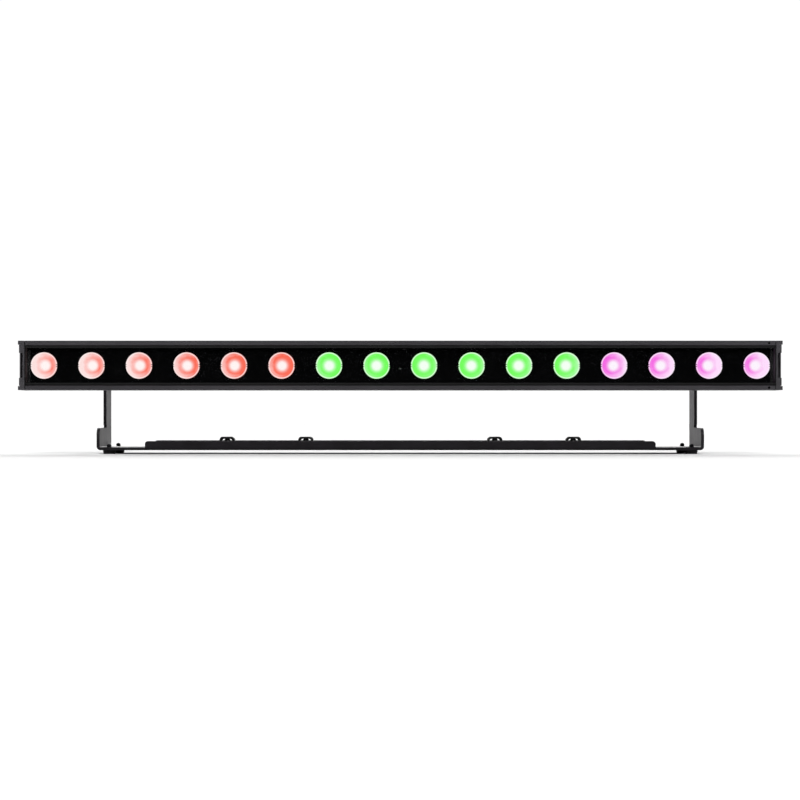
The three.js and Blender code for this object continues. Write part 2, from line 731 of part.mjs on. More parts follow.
function tiltKnob() {
  const y = depth(PIVOT);
  const lobes = [];
  for (let i = 0; i < 40; i++) {
    const a = (i / 40) * 2 * Math.PI;
    const r = 15.6 + 2.4 * Math.cos(5 * a);
    lobes.push([y + r * Math.cos(a), HEAD_Z + r * Math.sin(a)]);
  }
  const grip = prism("x", lobes, 406, 418);
  const core = [
    [0, 391],
    [STUD_R, 391],
    [STUD_R, 402.3],
    [9.5, 402.3],
    [11.5, 406.5],
    [8, 418],
    [7, 421],
    [0, 421],
  ];
  return turned("x", [0, y, HEAD_Z], core, 20).add(grip);
}

// ---- assembly ----
function buildHead() {
  addNode("housing_extrusion", housing(), BLACK_METAL);
  for (const [word, side] of [["left", -1], ["right", 1]]) {
    addNode(`end_cap_${word}`, onSide(side, endCap), CAST_METAL);
    addNode(`end_gasket_${word}`, onSide(side, endGasket), BLACK_RUBBER);
    addNode(`led_board_${word}`, ledBoard(side), BOARD_WHITE);
    addNode(`pivot_bracket_${word}`, onSide(side, pivotBracket), POWDER_COAT);
  }
  addNode("front_glass", pane(GLASS, PANE_LENGTH / 2, PANE_HALF), CLEAR_GLASS);
  addNode("glass_gasket", glassGasket(), BLACK_RUBBER);
  addNode("lens_mask", lensMask(), MASK_BLACK);
  for (let i = 0; i < LENS_COUNT; i++) {
    const look = i < 6 ? RED_LIGHT : i < 12 ? GREEN_LIGHT : PINK_LIGHT;
    addNode(`lens_${String(i + 1).padStart(2, "0")}`, lens(i), look);
  }
  addNode("status_sensor", statusSensor(), BARE_METAL);
  addNode("power_supply", powerSupply(), BARE_METAL);
  addNode("driver_board", driverBoard(), BOARD_GREEN);
}

function buildControls() {
  addNode("rear_panel", rearPanel(), BLACK_METAL);
  addNode("display_window", displayWindow(), MASK_BLACK);
  BUTTON_X.forEach((x, i) => addNode(`menu_button_${i + 1}`, menuButton(x), BLACK_PLASTIC));
  for (const [name, x] of Object.entries(SOCKET_X)) {
    addNode(name, socket(x), BLACK_PLASTIC);
  }
  addNode("vent_plug", ventPlug(), BLACK_PLASTIC);
  addNode("safety_eye", safetyEye(), ZINC);
}

function buildYoke() {
  addNode("yoke", yoke(), POWDER_COAT);
  footPlaces().forEach((place, i) => {
    addNode(`rubber_foot_${i + 1}`, rubberFoot(place), BLACK_RUBBER);
    addNode(`foot_bolt_${i + 1}`, footBolt(place), ZINC);
  });
  RECEPTACLE_X.forEach((x, i) => addNode(`clamp_receptacle_${i + 1}`, clampReceptacle(x), BLACK_PLASTIC));
  for (const [word, side] of [["left", -1], ["right", 1]]) {
    addNode(`pivot_washer_${word}`, onSide(side, pivotWasher), ZINC);
    addNode(`tilt_knob_${word}`, onSide(side, tiltKnob), BLACK_PLASTIC);
  }
}

buildHead();
buildControls();
buildYoke();

export default group;
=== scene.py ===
import json
import math

import bmesh
import bpy
from mathutils import Matrix, Vector


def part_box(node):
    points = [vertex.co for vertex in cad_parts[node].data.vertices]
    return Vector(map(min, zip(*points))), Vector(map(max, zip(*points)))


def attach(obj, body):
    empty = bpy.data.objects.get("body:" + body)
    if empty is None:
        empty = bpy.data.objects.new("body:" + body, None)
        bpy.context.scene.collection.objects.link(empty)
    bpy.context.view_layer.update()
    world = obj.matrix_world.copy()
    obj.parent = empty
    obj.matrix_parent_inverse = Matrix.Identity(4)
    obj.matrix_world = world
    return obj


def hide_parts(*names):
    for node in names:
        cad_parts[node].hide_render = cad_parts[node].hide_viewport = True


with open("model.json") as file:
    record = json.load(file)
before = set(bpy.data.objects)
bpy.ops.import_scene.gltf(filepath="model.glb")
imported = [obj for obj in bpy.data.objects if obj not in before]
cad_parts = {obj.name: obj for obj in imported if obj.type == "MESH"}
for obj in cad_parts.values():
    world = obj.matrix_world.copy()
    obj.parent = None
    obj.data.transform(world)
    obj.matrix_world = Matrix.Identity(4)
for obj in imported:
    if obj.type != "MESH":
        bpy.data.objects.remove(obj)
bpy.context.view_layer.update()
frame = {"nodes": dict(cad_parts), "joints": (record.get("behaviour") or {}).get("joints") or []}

# The scene is in metres. The shapes are given in millimetres, and MM turns them into metres.
MM = 0.001
SIDES = ((-1, "left"), (1, "right"))

# ---- places from the frame, in metres ----
NODES = frame["nodes"]
LENS_NAMES = sorted(n for n in NODES if n.startswith("lens_") and n != "lens_mask")
LENS_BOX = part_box(LENS_NAMES[0])
LENS_R = (LENS_BOX[1].x - LENS_BOX[0].x) / 2
HEAD_LOW, HEAD_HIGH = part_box("housing_extrusion")
FRONT_Y = HEAD_LOW.y
REAR_Y = HEAD_HIGH.y
AXIS_Z = (HEAD_LOW.z + HEAD_HIGH.z) / 2
TILT = next(j for j in frame["joints"] if j["name"] == "head_tilt")
PIVOT = Vector(TILT["pos_m"])

# ---- sizes in millimetres ----
CLEARANCE = 0.2  # left between neighbouring parts
RIM_HEIGHT = 5.5  # of the flat front rims above and below the glass
RIM_SCREW_INSET = 8.2  # from the end of the extrusion
RIM_SCREW_DROP = 3.15  # below the top of the head, and above its bottom
LENS_GAP = 0.35  # between a lens and its hole in the mask
SENSOR_HOLE_R = 2.3
CAP_EAR = 1.3  # how far the ears of an end cap stand out over its face
CAP_SCREW_SEAT = 2.9  # depth of the screws' seat in that face
CAP_SCREWS = ((13, 25.5), (13, -25.5), (52, 23), (52, -23))  # back from the front, up from the axis
BRACKET_SHEET = 3.2
BRACKET_SCREW_X = 377
BRACKET_SCREW_Z = 12  # above and below the axis
SOCKET_HOLE_R = 11.2
SOCKET_DEPTH = 16
SOCKET_PLATE = 2.3
SOCKET_PLATE_REAR = 2.4  # behind the housing
BUTTON_R = 3.5
DIGIT_HEIGHT = 7.5
DIGIT_PITCH = 8
DIGITS_UP = 8  # from the tilt axis to the middle of the digits
EAR_SHEET = 2.9  # thickness of the safety eye
EAR_HALF = 12
EAR_HOLE_R = 6
EAR_HOLE_BACK = 11.8  # from the foot of the safety eye
YOKE_SHEET = 4.0
ARM_X = 402  # outer face of the arms
ARCH_DEPTH = 13.6
KNOB_R = 15.6
KNOB_LOBES = 5
KNOB_THREAD_PITCH = 1.0

# ---- light and camera ----
# Brightness of the room, as the object reflects it.
ROOM_LIGHT = 0.12  # at the sides and above
BACKDROP_LIGHT = 0.5  # behind the batten
REAR_LIGHT = 3.9  # added to that by a raised softbox
DARK_FRONT = 0.02  # in front of the lenses
BACKDROP_SEEN = 1.03  # the plain pale background that the camera sees, from every side
# Where each of these fades in, from nothing at the first value to all of it at the second. The
# values are the Y or Z part of a direction of length 1.
PATCH_AHEAD = (-0.2, -0.55)
PATCH_BELOW = (0.8, 0.62)
BACKDROP_BEHIND = (0.2, 0.5)
SOFTBOX_ABOVE = (0.12, 0.2)
SOFTBOX_BELOW = (0.82, 0.68)

KEY_ELEVATION = 42  # degrees; the sun shines from the camera's side
KEY_STRENGTH = 1.65
KEY_SPREAD = 24  # degrees; softens the shadows
SIDE_POWER = 1.8
SIDE_PLACE = (1.9, 0.3, 0.8)  # of the right lamp; the left one is its mirror image
SIDE_AIM = (0, 0, 0.06)
SIDE_SIZE = 0.9

FLOOR_HALF = 14.0
CAMERA_DISTANCE = 2.8  # in front of the rims
CAMERA_HEIGHT = 0.0477
CAMERA_X = -0.0004
FOCAL_PX = 2128
IMAGE_PX = 800
SENSOR_WIDTH = 36  # millimetres
VIEW_SHIFT = 0.0225  # how far the view is raised, as a share of its width

# ---- numbers of the materials ----
NOISE_RANGE = (0.3, 0.7)  # nearly all of a noise lies in it
EDGE_TURN = (0.97, 0.75)  # cosine between the true and the rounded normal, on a flat and on an edge
GLASS_REFLECTANCE = 0.027  # share of light that a face of the glass reflects, seen square on
GLASS_GRAZING = 0.77  # what is added to it along the face

# Share of the lens colour, against the white of the core, from the middle of a lens to its rim.
LENS_FALL = [
    (0.0, 0.0),
    (0.22, 0.0),
    (0.3, 0.1),
    (0.39, 0.46),
    (0.48, 0.76),
    (0.57, 0.93),
    (0.66, 1.0),
    (0.84, 1.0),
    (0.9, 0.92),
    (0.935, 0.25),
    (0.965, 0.15),
    (1.0, 0.7),
]
# Colour of the cup, the colour that it pales to, and colour of the core, as display colours.
LENS_COLOURS = {
    "lens_red": ((248, 104, 82), (252, 224, 222), (255, 244, 242)),
    "lens_green": ((114, 251, 92), (188, 251, 186), (244, 255, 243)),
    "lens_pink": ((243, 102, 225), (253, 219, 251), (252, 243, 253)),
}
LENS_ROW = ["lens_red"] * 6 + ["lens_green"] * 6 + ["lens_pink"] * 4
LENS_GLOW = 1.05
# How pale a cup is: all over, and more on its outer side than on its inner side. It grows from the
# middle of the batten to its ends.
WASH_MIDDLE = -0.12
WASH_RISE = 0.72
WASH_FROM = 0.25  # share of the way to the end where the rise begins
SIDE_WASH = 0.2
SIDE_WASH_RISE = {"lens_red": 0.42, "lens_green": 0.65, "lens_pink": 0.65}


# ---- colours and materials ----
def linear(r, g, b):
    """A display colour in 0-255 as the linear colour the shaders take."""
    out = []
    for v in (r, g, b):
        v /= 255
        out.append(v / 12.92 if v <= 0.04045 else ((v + 0.055) / 1.055) ** 2.4)
    return (*out, 1.0)


def new_material(name):
    mat = bpy.data.materials.new(name)
    mat.use_nodes = True
    tree = mat.node_tree
    tree.nodes.clear()
    out = tree.nodes.new("ShaderNodeOutputMaterial")
    bsdf = tree.nodes.new("ShaderNodeBsdfPrincipled")
    tree.links.new(bsdf.outputs[0], out.inputs["Surface"])
    return mat, tree, bsdf, out


def math_node(tree, operation, a, b=None, clamp=False):
    node = tree.nodes.new("ShaderNodeMath")
    node.operation = operation
    node.use_clamp = clamp
    for socket, value in zip(node.inputs, (a, b)):
        if value is None:
            continue
        if isinstance(value, (int, float)):
            socket.default_value = value
        else:
            tree.links.new(value, socket)
    return node.outputs[0]


def ramp(tree, value, low, high, to_low=0.0, to_high=1.0, kind="SMOOTHSTEP"):
    node = tree.nodes.new("ShaderNodeMapRange")
    node.interpolation_type = kind
    node.inputs["From Min"].default_value = low
    node.inputs["From Max"].default_value = high
    node.inputs["To Min"].default_value = to_low
    node.inputs["To Max"].default_value = to_high
    tree.links.new(value, node.inputs["Value"])
    return node.outputs["Result"]


def mix_colour(tree, factor, a, b):
    node = tree.nodes.new("ShaderNodeMix")
    node.data_type = "RGBA"
    for key, value in ((0, factor), (6, a), (7, b)):
        if isinstance(value, (tuple, float)):
            node.inputs[key].default_value = value
        else:
            tree.links.new(value, node.inputs[key])
    return node.outputs[2]


def noise(tree, coords, scale, detail, stretch=(1, 1, 1)):
    mapping = tree.nodes.new("ShaderNodeMapping")
    mapping.inputs["Scale"].default_value = stretch
    tree.links.new(coords, mapping.inputs["Vector"])
    node = tree.nodes.new("ShaderNodeTexNoise")
    node.inputs["Scale"].default_value = scale
    node.inputs["Detail"].default_value = detail
    node.inputs["Roughness"].default_value = 0.55
    tree.links.new(mapping.outputs[0], node.inputs["Vector"])
    return node.outputs["Fac"]


def edge_mask(tree, width):
    """1 on the outer edges of a piece and 0 on its flats."""
    bevel = tree.nodes.new("ShaderNodeBevel")
    bevel.samples = 4
    bevel.inputs["Radius"].default_value = width
    geometry = tree.nodes.new("ShaderNodeNewGeometry")
    dot = tree.nodes.new("ShaderNodeVectorMath")
    dot.operation = "DOT_PRODUCT"
    tree.links.new(bevel.outputs[0], dot.inputs[0])
    tree.links.new(geometry.outputs["Normal"], dot.inputs[1])
    return ramp(tree, dot.outputs["Value"], *EDGE_TURN)


def recess_shade_mask(tree, coords):
    """1 on the narrow bezel strip set back behind the front rims, where shade is painted, 0 on the
    rest of the head.
    """
    split = tree.nodes.new("ShaderNodeSeparateXYZ")
    tree.links.new(coords, split.inputs[0])
    above = math_node(tree, "SUBTRACT", split.outputs["Z"], AXIS_Z)
    off_axis = math_node(tree, "ABSOLUTE", above)
    edge = (HEAD_HIGH.z - HEAD_LOW.z) / 2 - RIM_HEIGHT * MM
    between = ramp(tree, off_axis, edge + 0.1 * MM, edge - 0.3 * MM)
    behind = ramp(tree, split.outputs["Y"], FRONT_Y + 0.2 * MM, FRONT_Y + 0.9 * MM)
    return math_node(tree, "MULTIPLY", between, behind)


def surface(
    name,
    dark,
    light,
    scale,
    rough,
    grain,
    bump,
    stretch=(1, 1, 1),
    grain_stretch=(1, 1, 1),
    metal=0.0,
    edge=None,
    edge_width=0.0006,
    recess_shade=None,
    specular=0.5,
    gloss_tint=(1.0, 1.0, 1.0),
    coat=0.0,
):
    """A worn, slightly uneven surface: patchy colour, grain in gloss and relief, worn edges, and,
    where asked, painted shade on the strip set back behind the head's rims.

    The colours are display colours. scale is the noise scale of the patches and grain that of the
    grain, rough the range of the roughness, and bump and edge_width are in metres.
    """
    mat, tree, bsdf, _ = new_material(name)
    coords = tree.nodes.new("ShaderNodeTexCoord").outputs["Object"]
    patches = noise(tree, coords, scale, 4, stretch)
    colour = mix_colour(tree, ramp(tree, patches, *NOISE_RANGE), linear(*dark), linear(*light))
    fine = noise(tree, coords, grain, 2, grain_stretch)
    if edge:
        patchy = ramp(tree, patches, 0.25, 0.6, 0.35, 1)
        worn = math_node(tree, "MULTIPLY", edge_mask(tree, edge_width), patchy)
        colour = mix_colour(tree, worn, colour, linear(*edge))
    # painted shade: the strip set back behind the rims is darkened to the given colour, as if the
    # rims shaded it
    if recess_shade:
        colour = mix_colour(tree, recess_shade_mask(tree, coords), colour, linear(*recess_shade))
    tree.links.new(colour, bsdf.inputs["Base Color"])
    half_patches = math_node(tree, "MULTIPLY", patches, 0.5)
    both = math_node(tree, "ADD", half_patches, math_node(tree, "MULTIPLY", fine, 0.5))
    tree.links.new(ramp(tree, both, *NOISE_RANGE, *rough), bsdf.inputs["Roughness"])
    relief = tree.nodes.new("ShaderNodeBump")
    relief.inputs["Strength"].default_value = 1.0
    relief.inputs["Distance"].default_value = bump
    tree.links.new(fine, relief.inputs["Height"])
    tree.links.new(relief.outputs[0], bsdf.inputs["Normal"])
    bsdf.inputs["Metallic"].default_value = metal
    bsdf.inputs["Specular IOR Level"].default_value = specular
    bsdf.inputs["Specular Tint"].default_value = (*gloss_tint, 1.0)
    bsdf.inputs["Coat Weight"].default_value = coat
    return mat


def lens_curve(tree, radius):
    """LENS_FALL as a colour ramp over the radius."""
    curve = tree.nodes.new("ShaderNodeValToRGB")
    elements = curve.color_ramp.elements
    first, last = LENS_FALL[0], LENS_FALL[-1]
    elements[0].position, elements[0].color = first[0], (first[1],) * 3 + (1,)
    elements[1].position, elements[1].color = last[0], (last[1],) * 3 + (1,)
    for place, level in LENS_FALL[1:-1]:
        elements.new(place).color = (level, level, level, 1)
    tree.links.new(radius, curve.inputs["Fac"])
    return curve.outputs["Color"]


def lit_lens(name, full, pale, hot):
    """A lit optic: a white core, a coloured cup and a bright rim.

    Each lens says in wash and side how pale its cup is, all over and on its outer side.
    """
    mat, tree, bsdf, _ = new_material(name)
    coords = tree.nodes.new("ShaderNodeTexCoord").outputs["Object"]
    split = tree.nodes.new("ShaderNodeSeparateXYZ")
    tree.links.new(coords, split.inputs[0])
    across = math_node(tree, "DIVIDE", split.outputs["X"], LENS_R)
    up = math_node(tree, "DIVIDE", split.outputs["Z"], LENS_R)
    across_squared = math_node(tree, "MULTIPLY", across, across)
    up_squared = math_node(tree, "MULTIPLY", up, up)
    radius = math_node(tree, "SQRT", math_node(tree, "ADD", across_squared, up_squared))

    def own(key):
        node = tree.nodes.new("ShaderNodeAttribute")
        node.attribute_type = "OBJECT"
        node.attribute_name = key
        return node.outputs["Fac"]

    clouds = noise(tree, coords, 95, 3)
    outward = math_node(tree, "MULTIPLY", across, own("side"))
    wash = math_node(tree, "ADD", own("wash"), outward)
    wash = math_node(tree, "ADD", wash, ramp(tree, radius, 0.5, 0.85, -0.22, 0.24))
    cloudy = ramp(tree, clouds, *NOISE_RANGE, -0.13, 0.13)
    wash = math_node(tree, "ADD", wash, cloudy, clamp=True)
    tint = mix_colour(tree, wash, linear(*full), linear(*pale))
    glow = mix_colour(tree, lens_curve(tree, radius), linear(*hot), tint)
    tree.links.new(glow, bsdf.inputs["Emission Color"])
    bsdf.inputs["Emission Strength"].default_value = LENS_GLOW
    bsdf.inputs["Base Color"].default_value = (0.01, 0.01, 0.01, 1)
    tree.links.new(ramp(tree, clouds, *NOISE_RANGE, 0.25, 0.4), bsdf.inputs["Roughness"])
    bsdf.inputs["Specular IOR Level"].default_value = 0.05
    return mat


def clear_glass():
    mat, tree, bsdf, out = new_material("clear_glass")
    coords = tree.nodes.new("ShaderNodeTexCoord").outputs["Object"]
    dust = noise(tree, coords, 35, 5)
    tree.links.new(ramp(tree, dust, 0.35, 0.75, 0.0, 0.025), bsdf.inputs["Roughness"])
    bsdf.inputs["Base Color"].default_value = (0.01, 0.012, 0.012, 1)
    bsdf.inputs["Specular IOR Level"].default_value = 0.5
    clear = tree.nodes.new("ShaderNodeBsdfTransparent")
    # A Fresnel node would reflect everything at the back face beyond a certain angle, because the
    # clear part doesn't bend light. So both faces reflect alike here.
    slant = tree.nodes.new("ShaderNodeLayerWeight").outputs["Facing"]
    grazing = math_node(tree, "MULTIPLY", math_node(tree, "POWER", slant, 5.0), GLASS_GRAZING)
    share = math_node(tree, "ADD", grazing, GLASS_REFLECTANCE, clamp=True)
    mixer = tree.nodes.new("ShaderNodeMixShader")
    tree.links.new(share, mixer.inputs[0])
    tree.links.new(clear.outputs[0], mixer.inputs[1])
    tree.links.new(bsdf.outputs[0], mixer.inputs[2])
    tree.links.new(mixer.outputs[0], out.inputs["Surface"])
    return mat


def display_glow():
    mat, tree, bsdf, _ = new_material("display_glow")
    coords = tree.nodes.new("ShaderNodeTexCoord").outputs["Object"]
    blues = linear(120, 205, 255), linear(190, 232, 255)
    colour = mix_colour(tree, noise(tree, coords, 600, 2), *blues)
    tree.links.new(colour, bsdf.inputs["Emission Color"])
    bsdf.inputs["Emission Strength"].default_value = 1.0
    bsdf.inputs["Base Color"].default_value = (0.02, 0.03, 0.04, 1)
    return mat


SURFACES = {
    "black_anodised": dict(
        dark=(57, 55, 59),
        light=(68, 66, 70),
        scale=26,
        stretch=(0.25, 1, 1),
        rough=(0.36, 0.5),
        grain=1500,
        grain_stretch=(0.03, 1, 1),
        bump=0.00002,
        metal=0.35,
        specular=0.38,
        edge=(54, 52, 56),
        edge_width=0.0005,
        # painted shade of the strip set back behind the front rims
        recess_shade=(10, 10, 11),
    ),
    "cast_black": dict(
        dark=(53, 51, 55),
        light=(65, 63, 67),
        scale=70,
        rough=(0.45, 0.62),
        grain=1800,
        bump=0.00007,
        metal=0.2,
        edge=(74, 73, 77),
    ),
    "powder_coat": dict(
        dark=(23, 22, 24),
        light=(31, 30, 33),
        scale=40,
        rough=(0.4, 0.52),
        grain=1400,
        bump=0.00006,
        specular=0.19,
        gloss_tint=(1.0, 0.9, 0.98),
        edge=(36, 35, 38),
        edge_width=0.0007,
    ),
    "black_rubber": dict(
        dark=(14, 14, 15),
        light=(24, 24, 25),
        scale=90,
        rough=(0.75, 0.95),
        grain=2200,
        bump=0.00006,
        specular=0.3,
    ),
    "mask_black": dict(
        dark=(2, 2, 3),
        light=(5, 5, 6),
        scale=30,
        rough=(0.5, 0.65),
        grain=1700,
        bump=0.00002,
        specular=0.02,
    ),
    "display_black": dict(
        dark=(6, 8, 9),
        light=(11, 13, 14),
        scale=30,
        rough=(0.08, 0.2),
        grain=500,
        bump=0.000004,
        coat=0.4,
    ),
    "button_plastic": dict(
        dark=(46, 47, 50),
        light=(60, 61, 64),
        scale=200,
        rough=(0.5, 0.65),
        grain=2600,
        bump=0.00003,
    ),
    "socket_plastic": dict(
        dark=(20, 20, 22),
        light=(30, 30, 32),
        scale=120,
        rough=(0.38, 0.55),
        grain=2400,
        bump=0.00004,
        edge=(60, 60, 62),
        edge_width=0.0003,
    ),
    "knob_plastic": dict(
        dark=(18, 18, 20),
        light=(29, 29, 31),
        scale=110,
        rough=(0.42, 0.6),
        grain=2000,
        bump=0.00008,
        edge=(66, 66, 69),
        edge_width=0.0004,
    ),
    "receptacle_black": dict(
        dark=(14, 14, 16),
        light=(24, 24, 27),
        scale=150,
        rough=(0.3, 0.5),
        grain=1800,
        bump=0.00003,
        metal=0.3,
        edge=(70, 70, 74),
        edge_width=0.0003,
    ),
    "zinc_steel": dict(
        dark=(120, 121, 124),
        light=(160, 160, 162),
        scale=160,
        rough=(0.25, 0.42),
        grain=1900,
        grain_stretch=(1, 1, 0.2),
        bump=0.00002,
        metal=0.95,
    ),
    "dark_steel": dict(
        dark=(38, 38, 41),
        light=(58, 58, 61),
        scale=200,
        rough=(0.3, 0.45),
        grain=1900,
        bump=0.00002,
        metal=0.85,
    ),
    "brass_contact": dict(
        dark=(176, 140, 70),
        light=(214, 178, 104),
        scale=300,
        rough=(0.2, 0.34),
        grain=2500,
        bump=0.00001,
        metal=1.0,
    ),
    "board_white": dict(
        dark=(206, 208, 205),
        light=(226, 227, 224),
        scale=70,
        rough=(0.4, 0.55),
        grain=1600,
        bump=0.00002,
    ),
    "board_green": dict(
        dark=(14, 60, 34),
        light=(30, 92, 52),
        scale=80,
        rough=(0.3, 0.45),
        grain=1200,
        bump=0.00005,
    ),
    "psu_case": dict(
        dark=(150, 152, 154),
        light=(186, 187, 189),
        scale=50,
        rough=(0.28, 0.42),
        grain=1500,
        grain_stretch=(0.05, 1, 1),
        bump=0.00003,
        metal=0.9,
    ),
    "sensor_bead": dict(
        dark=(96, 96, 98),
        light=(130, 130, 133),
        scale=400,
        rough=(0.2, 0.3),
        grain=2500,
        bump=0.00001,
        coat=0.5,
    ),
}

LOOKS = {name: surface(name, **values) for name, values in SURFACES.items()}
LOOKS["clear_glass"] = clear_glass()
for name, colours in LENS_COLOURS.items():
    LOOKS[name] = lit_lens(name, *colours)
LOOKS["display_glow"] = display_glow()


# ---- geometry tools ----
SMOOTH_ANGLE = 32  # degrees; edges under it are shaded smooth
BEVEL_ANGLE = 38  # degrees; edges over it are rounded


def smooth_by_angle():
    """A node group that shades smooth across the shallow edges and keeps the others sharp."""
    tree = bpy.data.node_groups.new("smooth_by_angle", "GeometryNodeTree")
    tree.interface.new_socket("Geometry", in_out="INPUT", socket_type="NodeSocketGeometry")
    tree.interface.new_socket("Geometry", in_out="OUTPUT", socket_type="NodeSocketGeometry")
    start = tree.nodes.new("NodeGroupInput")
    end = tree.nodes.new("NodeGroupOutput")
    faces = tree.nodes.new("GeometryNodeSetShadeSmooth")
    faces.domain = "FACE"
    edges = tree.nodes.new("GeometryNodeSetShadeSmooth")
    edges.domain = "EDGE"
    edges.inputs["Shade Smooth"].default_value = False
    angle = tree.nodes.new("GeometryNodeInputMeshEdgeAngle")
    steep = tree.nodes.new("FunctionNodeCompare")
    steep.data_type = "FLOAT"
    steep.operation = "GREATER_THAN"
    steep.inputs[1].default_value = math.radians(SMOOTH_ANGLE)
    tree.links.new(start.outputs[0], faces.inputs["Geometry"])
    tree.links.new(faces.outputs[0], edges.inputs["Geometry"])
    tree.links.new(angle.outputs["Unsigned Angle"], steep.inputs[0])
    tree.links.new(steep.outputs[0], edges.inputs["Selection"])
    tree.links.new(edges.outputs[0], end.inputs[0])
    return tree


SMOOTH = smooth_by_angle()


def soften(obj, width, segments=2):
    """Rounds the sharp edges of a piece by width, in millimetres, and shades the rest smoothly."""
    if width:
        bevel = obj.modifiers.new("edges", "BEVEL")
        bevel.limit_method = "ANGLE"
        bevel.angle_limit = math.radians(BEVEL_ANGLE)
        bevel.width = width * MM
        bevel.segments = segments
        bevel.miter_outer = "MITER_ARC"
        bevel.use_clamp_overlap = True
    shade = obj.modifiers.new("shade", "NODES")
    shade.node_group = SMOOTH


def add_piece(name, mesh, body, look, slot=None, bevel=0.0, segments=2, origin=None, replaces=()):
    """Puts a mesh into the scene as a piece that rides on a body and stands for CAD nodes."""
    obj = bpy.data.objects.new(name, mesh)
    if origin is not None:
        obj.location = origin
    bpy.context.scene.collection.objects.link(obj)
    mesh.materials.append(LOOKS[look])
    soften(obj, bevel, segments)
    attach(obj, body)
    if replaces:
        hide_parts(*replaces)
    return obj


class Shape:
    """Collects closed shells in metres and turns them into one piece."""

    def __init__(self):
        self.mesh = bmesh.new()

    def shell(self, points, faces):
        verts = [self.mesh.verts.new(p) for p in points]
        made = [self.mesh.faces.new([verts[i] for i in face]) for face in faces]
        bmesh.ops.recalc_face_normals(self.mesh, faces=made)
        return self

    def prism(self, axis, outline, low, high):
        """A flat outline, in millimetres in the two axes across, pushed from low to high."""
        n = len(outline)
        points = [self._across(axis, u, v, level) for level in (low, high) for u, v in outline]
        faces = [list(range(n))[::-1], list(range(n, 2 * n))]
        for i in range(n):
            j = (i + 1) % n
            faces.append([i, j, n + j, n + i])
        return self.shell(points, faces)

    @staticmethod
    def _across(axis, u, v, w):
        if axis == "x":
            return Vector((w, u, v)) * MM
        if axis == "y":
            return Vector((u, w, v)) * MM
        return Vector((u, v, w)) * MM

    def box(self, low, high):
        outline = [(low[0], low[1]), (high[0], low[1]), (high[0], high[1]), (low[0], high[1])]
        return self.prism("z", outline, low[2], high[2])

    def lathe(self, axis, centre, profile, steps=48):
        """A closed profile of (radius, height), in millimetres, turned about an axis at centre."""
        rings = []
        points = []
        faces = []
        for r, h in profile:
            if r < 1e-6:
                points.append(self._place(axis, centre, 0, 0, h))
                rings.append([len(points) - 1])
                continue
            ring = []
            for k in range(steps):
                a = 2 * math.pi * k / steps
                points.append(self._place(axis, centre, r * math.cos(a), r * math.sin(a), h))
                ring.append(len(points) - 1)
            rings.append(ring)
        pairs = list(zip(rings, rings[1:]))
        if len(rings[0]) > 1 or len(rings[-1]) > 1:
            pairs.append((rings[-1], rings[0]))
        for a, b in pairs:
            if len(a) == 1 and len(b) == 1:
                continue
            for k in range(steps):
                m = (k + 1) % steps
                if len(a) == 1:
                    faces.append([a[0], b[m], b[k]])
                elif len(b) == 1:
                    faces.append([a[k], a[m], b[0]])
                else:
                    faces.append([a[k], a[m], b[m], b[k]])
        return self.shell(points, faces)

    @staticmethod
    def _place(axis, centre, u, v, h):
        local = {"x": (h, u, v), "y": (u, h, v), "z": (u, v, h)}[axis]
        return (Vector(centre) + Vector(local)) * MM

    def finish(self, name, body, look, origin=None, **rest):
        """Makes the piece, with its own origin if one is given. The rest is as in add_piece."""
        data = bpy.data.meshes.new(name)
        if origin is not None:
            bmesh.ops.translate(self.mesh, verts=self.mesh.verts, vec=-Vector(origin))
        self.mesh.to_mesh(data)
        self.mesh.free()
        return add_piece(name, data, body, look, origin=origin, **rest)


def polar(u, v, r, angle):
    """The point at an angle, in radians, on a circle about u, v."""
    return u + r * math.cos(angle), v + r * math.sin(angle)


def circle(u, v, r, steps=48, start=0.0):
    return [polar(u, v, r, start + 2 * math.pi * k / steps) for k in range(steps)]


def arc(u, v, r, a, b, steps):
    """Points on a circle about u, v from a to b degrees, both included."""
    return [polar(u, v, r, math.radians(a + (b - a) * k / steps)) for k in range(steps + 1)]


def rounded(u0, u1, v0, v1, r, steps=5):
    """A rectangle with corners of radius r."""
    return [
        *arc(u1 - r, v1 - r, r, 0, 90, steps),
        *arc(u0 + r, v1 - r, r, 90, 180, steps),
        *arc(u0 + r, v0 + r, r, 180, 270, steps),
        *arc(u1 - r, v0 + r, r, 270, 360, steps),
    ]


def sheet_with_holes(name, outline, holes, thickness, round_edge):
    """A flat plate in its own XY plane, in millimetres, from z = 0 to thickness, as a mesh."""
    curve = bpy.data.curves.new(name, "CURVE")
    curve.dimensions = "2D"
    curve.fill_mode = "BOTH"
    curve.extrude = (thickness / 2 - round_edge) * MM
    curve.bevel_depth = round_edge * MM
    curve.bevel_resolution = 2
    curve.offset = -round_edge * MM
    for ring in [outline, *holes]:
        spline = curve.splines.new("POLY")
        spline.points.add(len(ring) - 1)
        for point, (u, v) in zip(spline.points, ring):
            point.co = (u * MM, v * MM, 0, 1)
        spline.use_cyclic_u = True
    holder = bpy.data.objects.new(name + "_curve", curve)
    bpy.context.scene.collection.objects.link(holder)
    bpy.context.view_layer.update()
    graph = bpy.context.evaluated_depsgraph_get()
    mesh = bpy.data.meshes.new_from_object(holder.evaluated_get(graph))
    mesh.transform(Matrix.Translation((0, 0, thickness / 2 * MM)))
    bpy.data.objects.remove(holder)
    bm = bmesh.new()
    bm.from_mesh(mesh)
    bmesh.ops.remove_doubles(bm, verts=bm.verts, dist=1e-7)
    bmesh.ops.recalc_face_normals(bm, faces=bm.faces)
    bm.to_mesh(mesh)
    bm.free()
    mesh.name = name
    return mesh


def stand_up(mesh, rear):
    """Turns a flat sheet upright across Y, with its rear face at rear, in millimetres."""
    mesh.transform(Matrix.Rotation(math.radians(90), 4, "X"))
    mesh.transform(Matrix.Translation((0, rear * MM, 0)))


def mm(point):
    return [v / MM for v in point]


def box_of(node):
    """Lowest and highest corner of a CAD node, in millimetres."""
    return [mm(corner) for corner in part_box(node)]


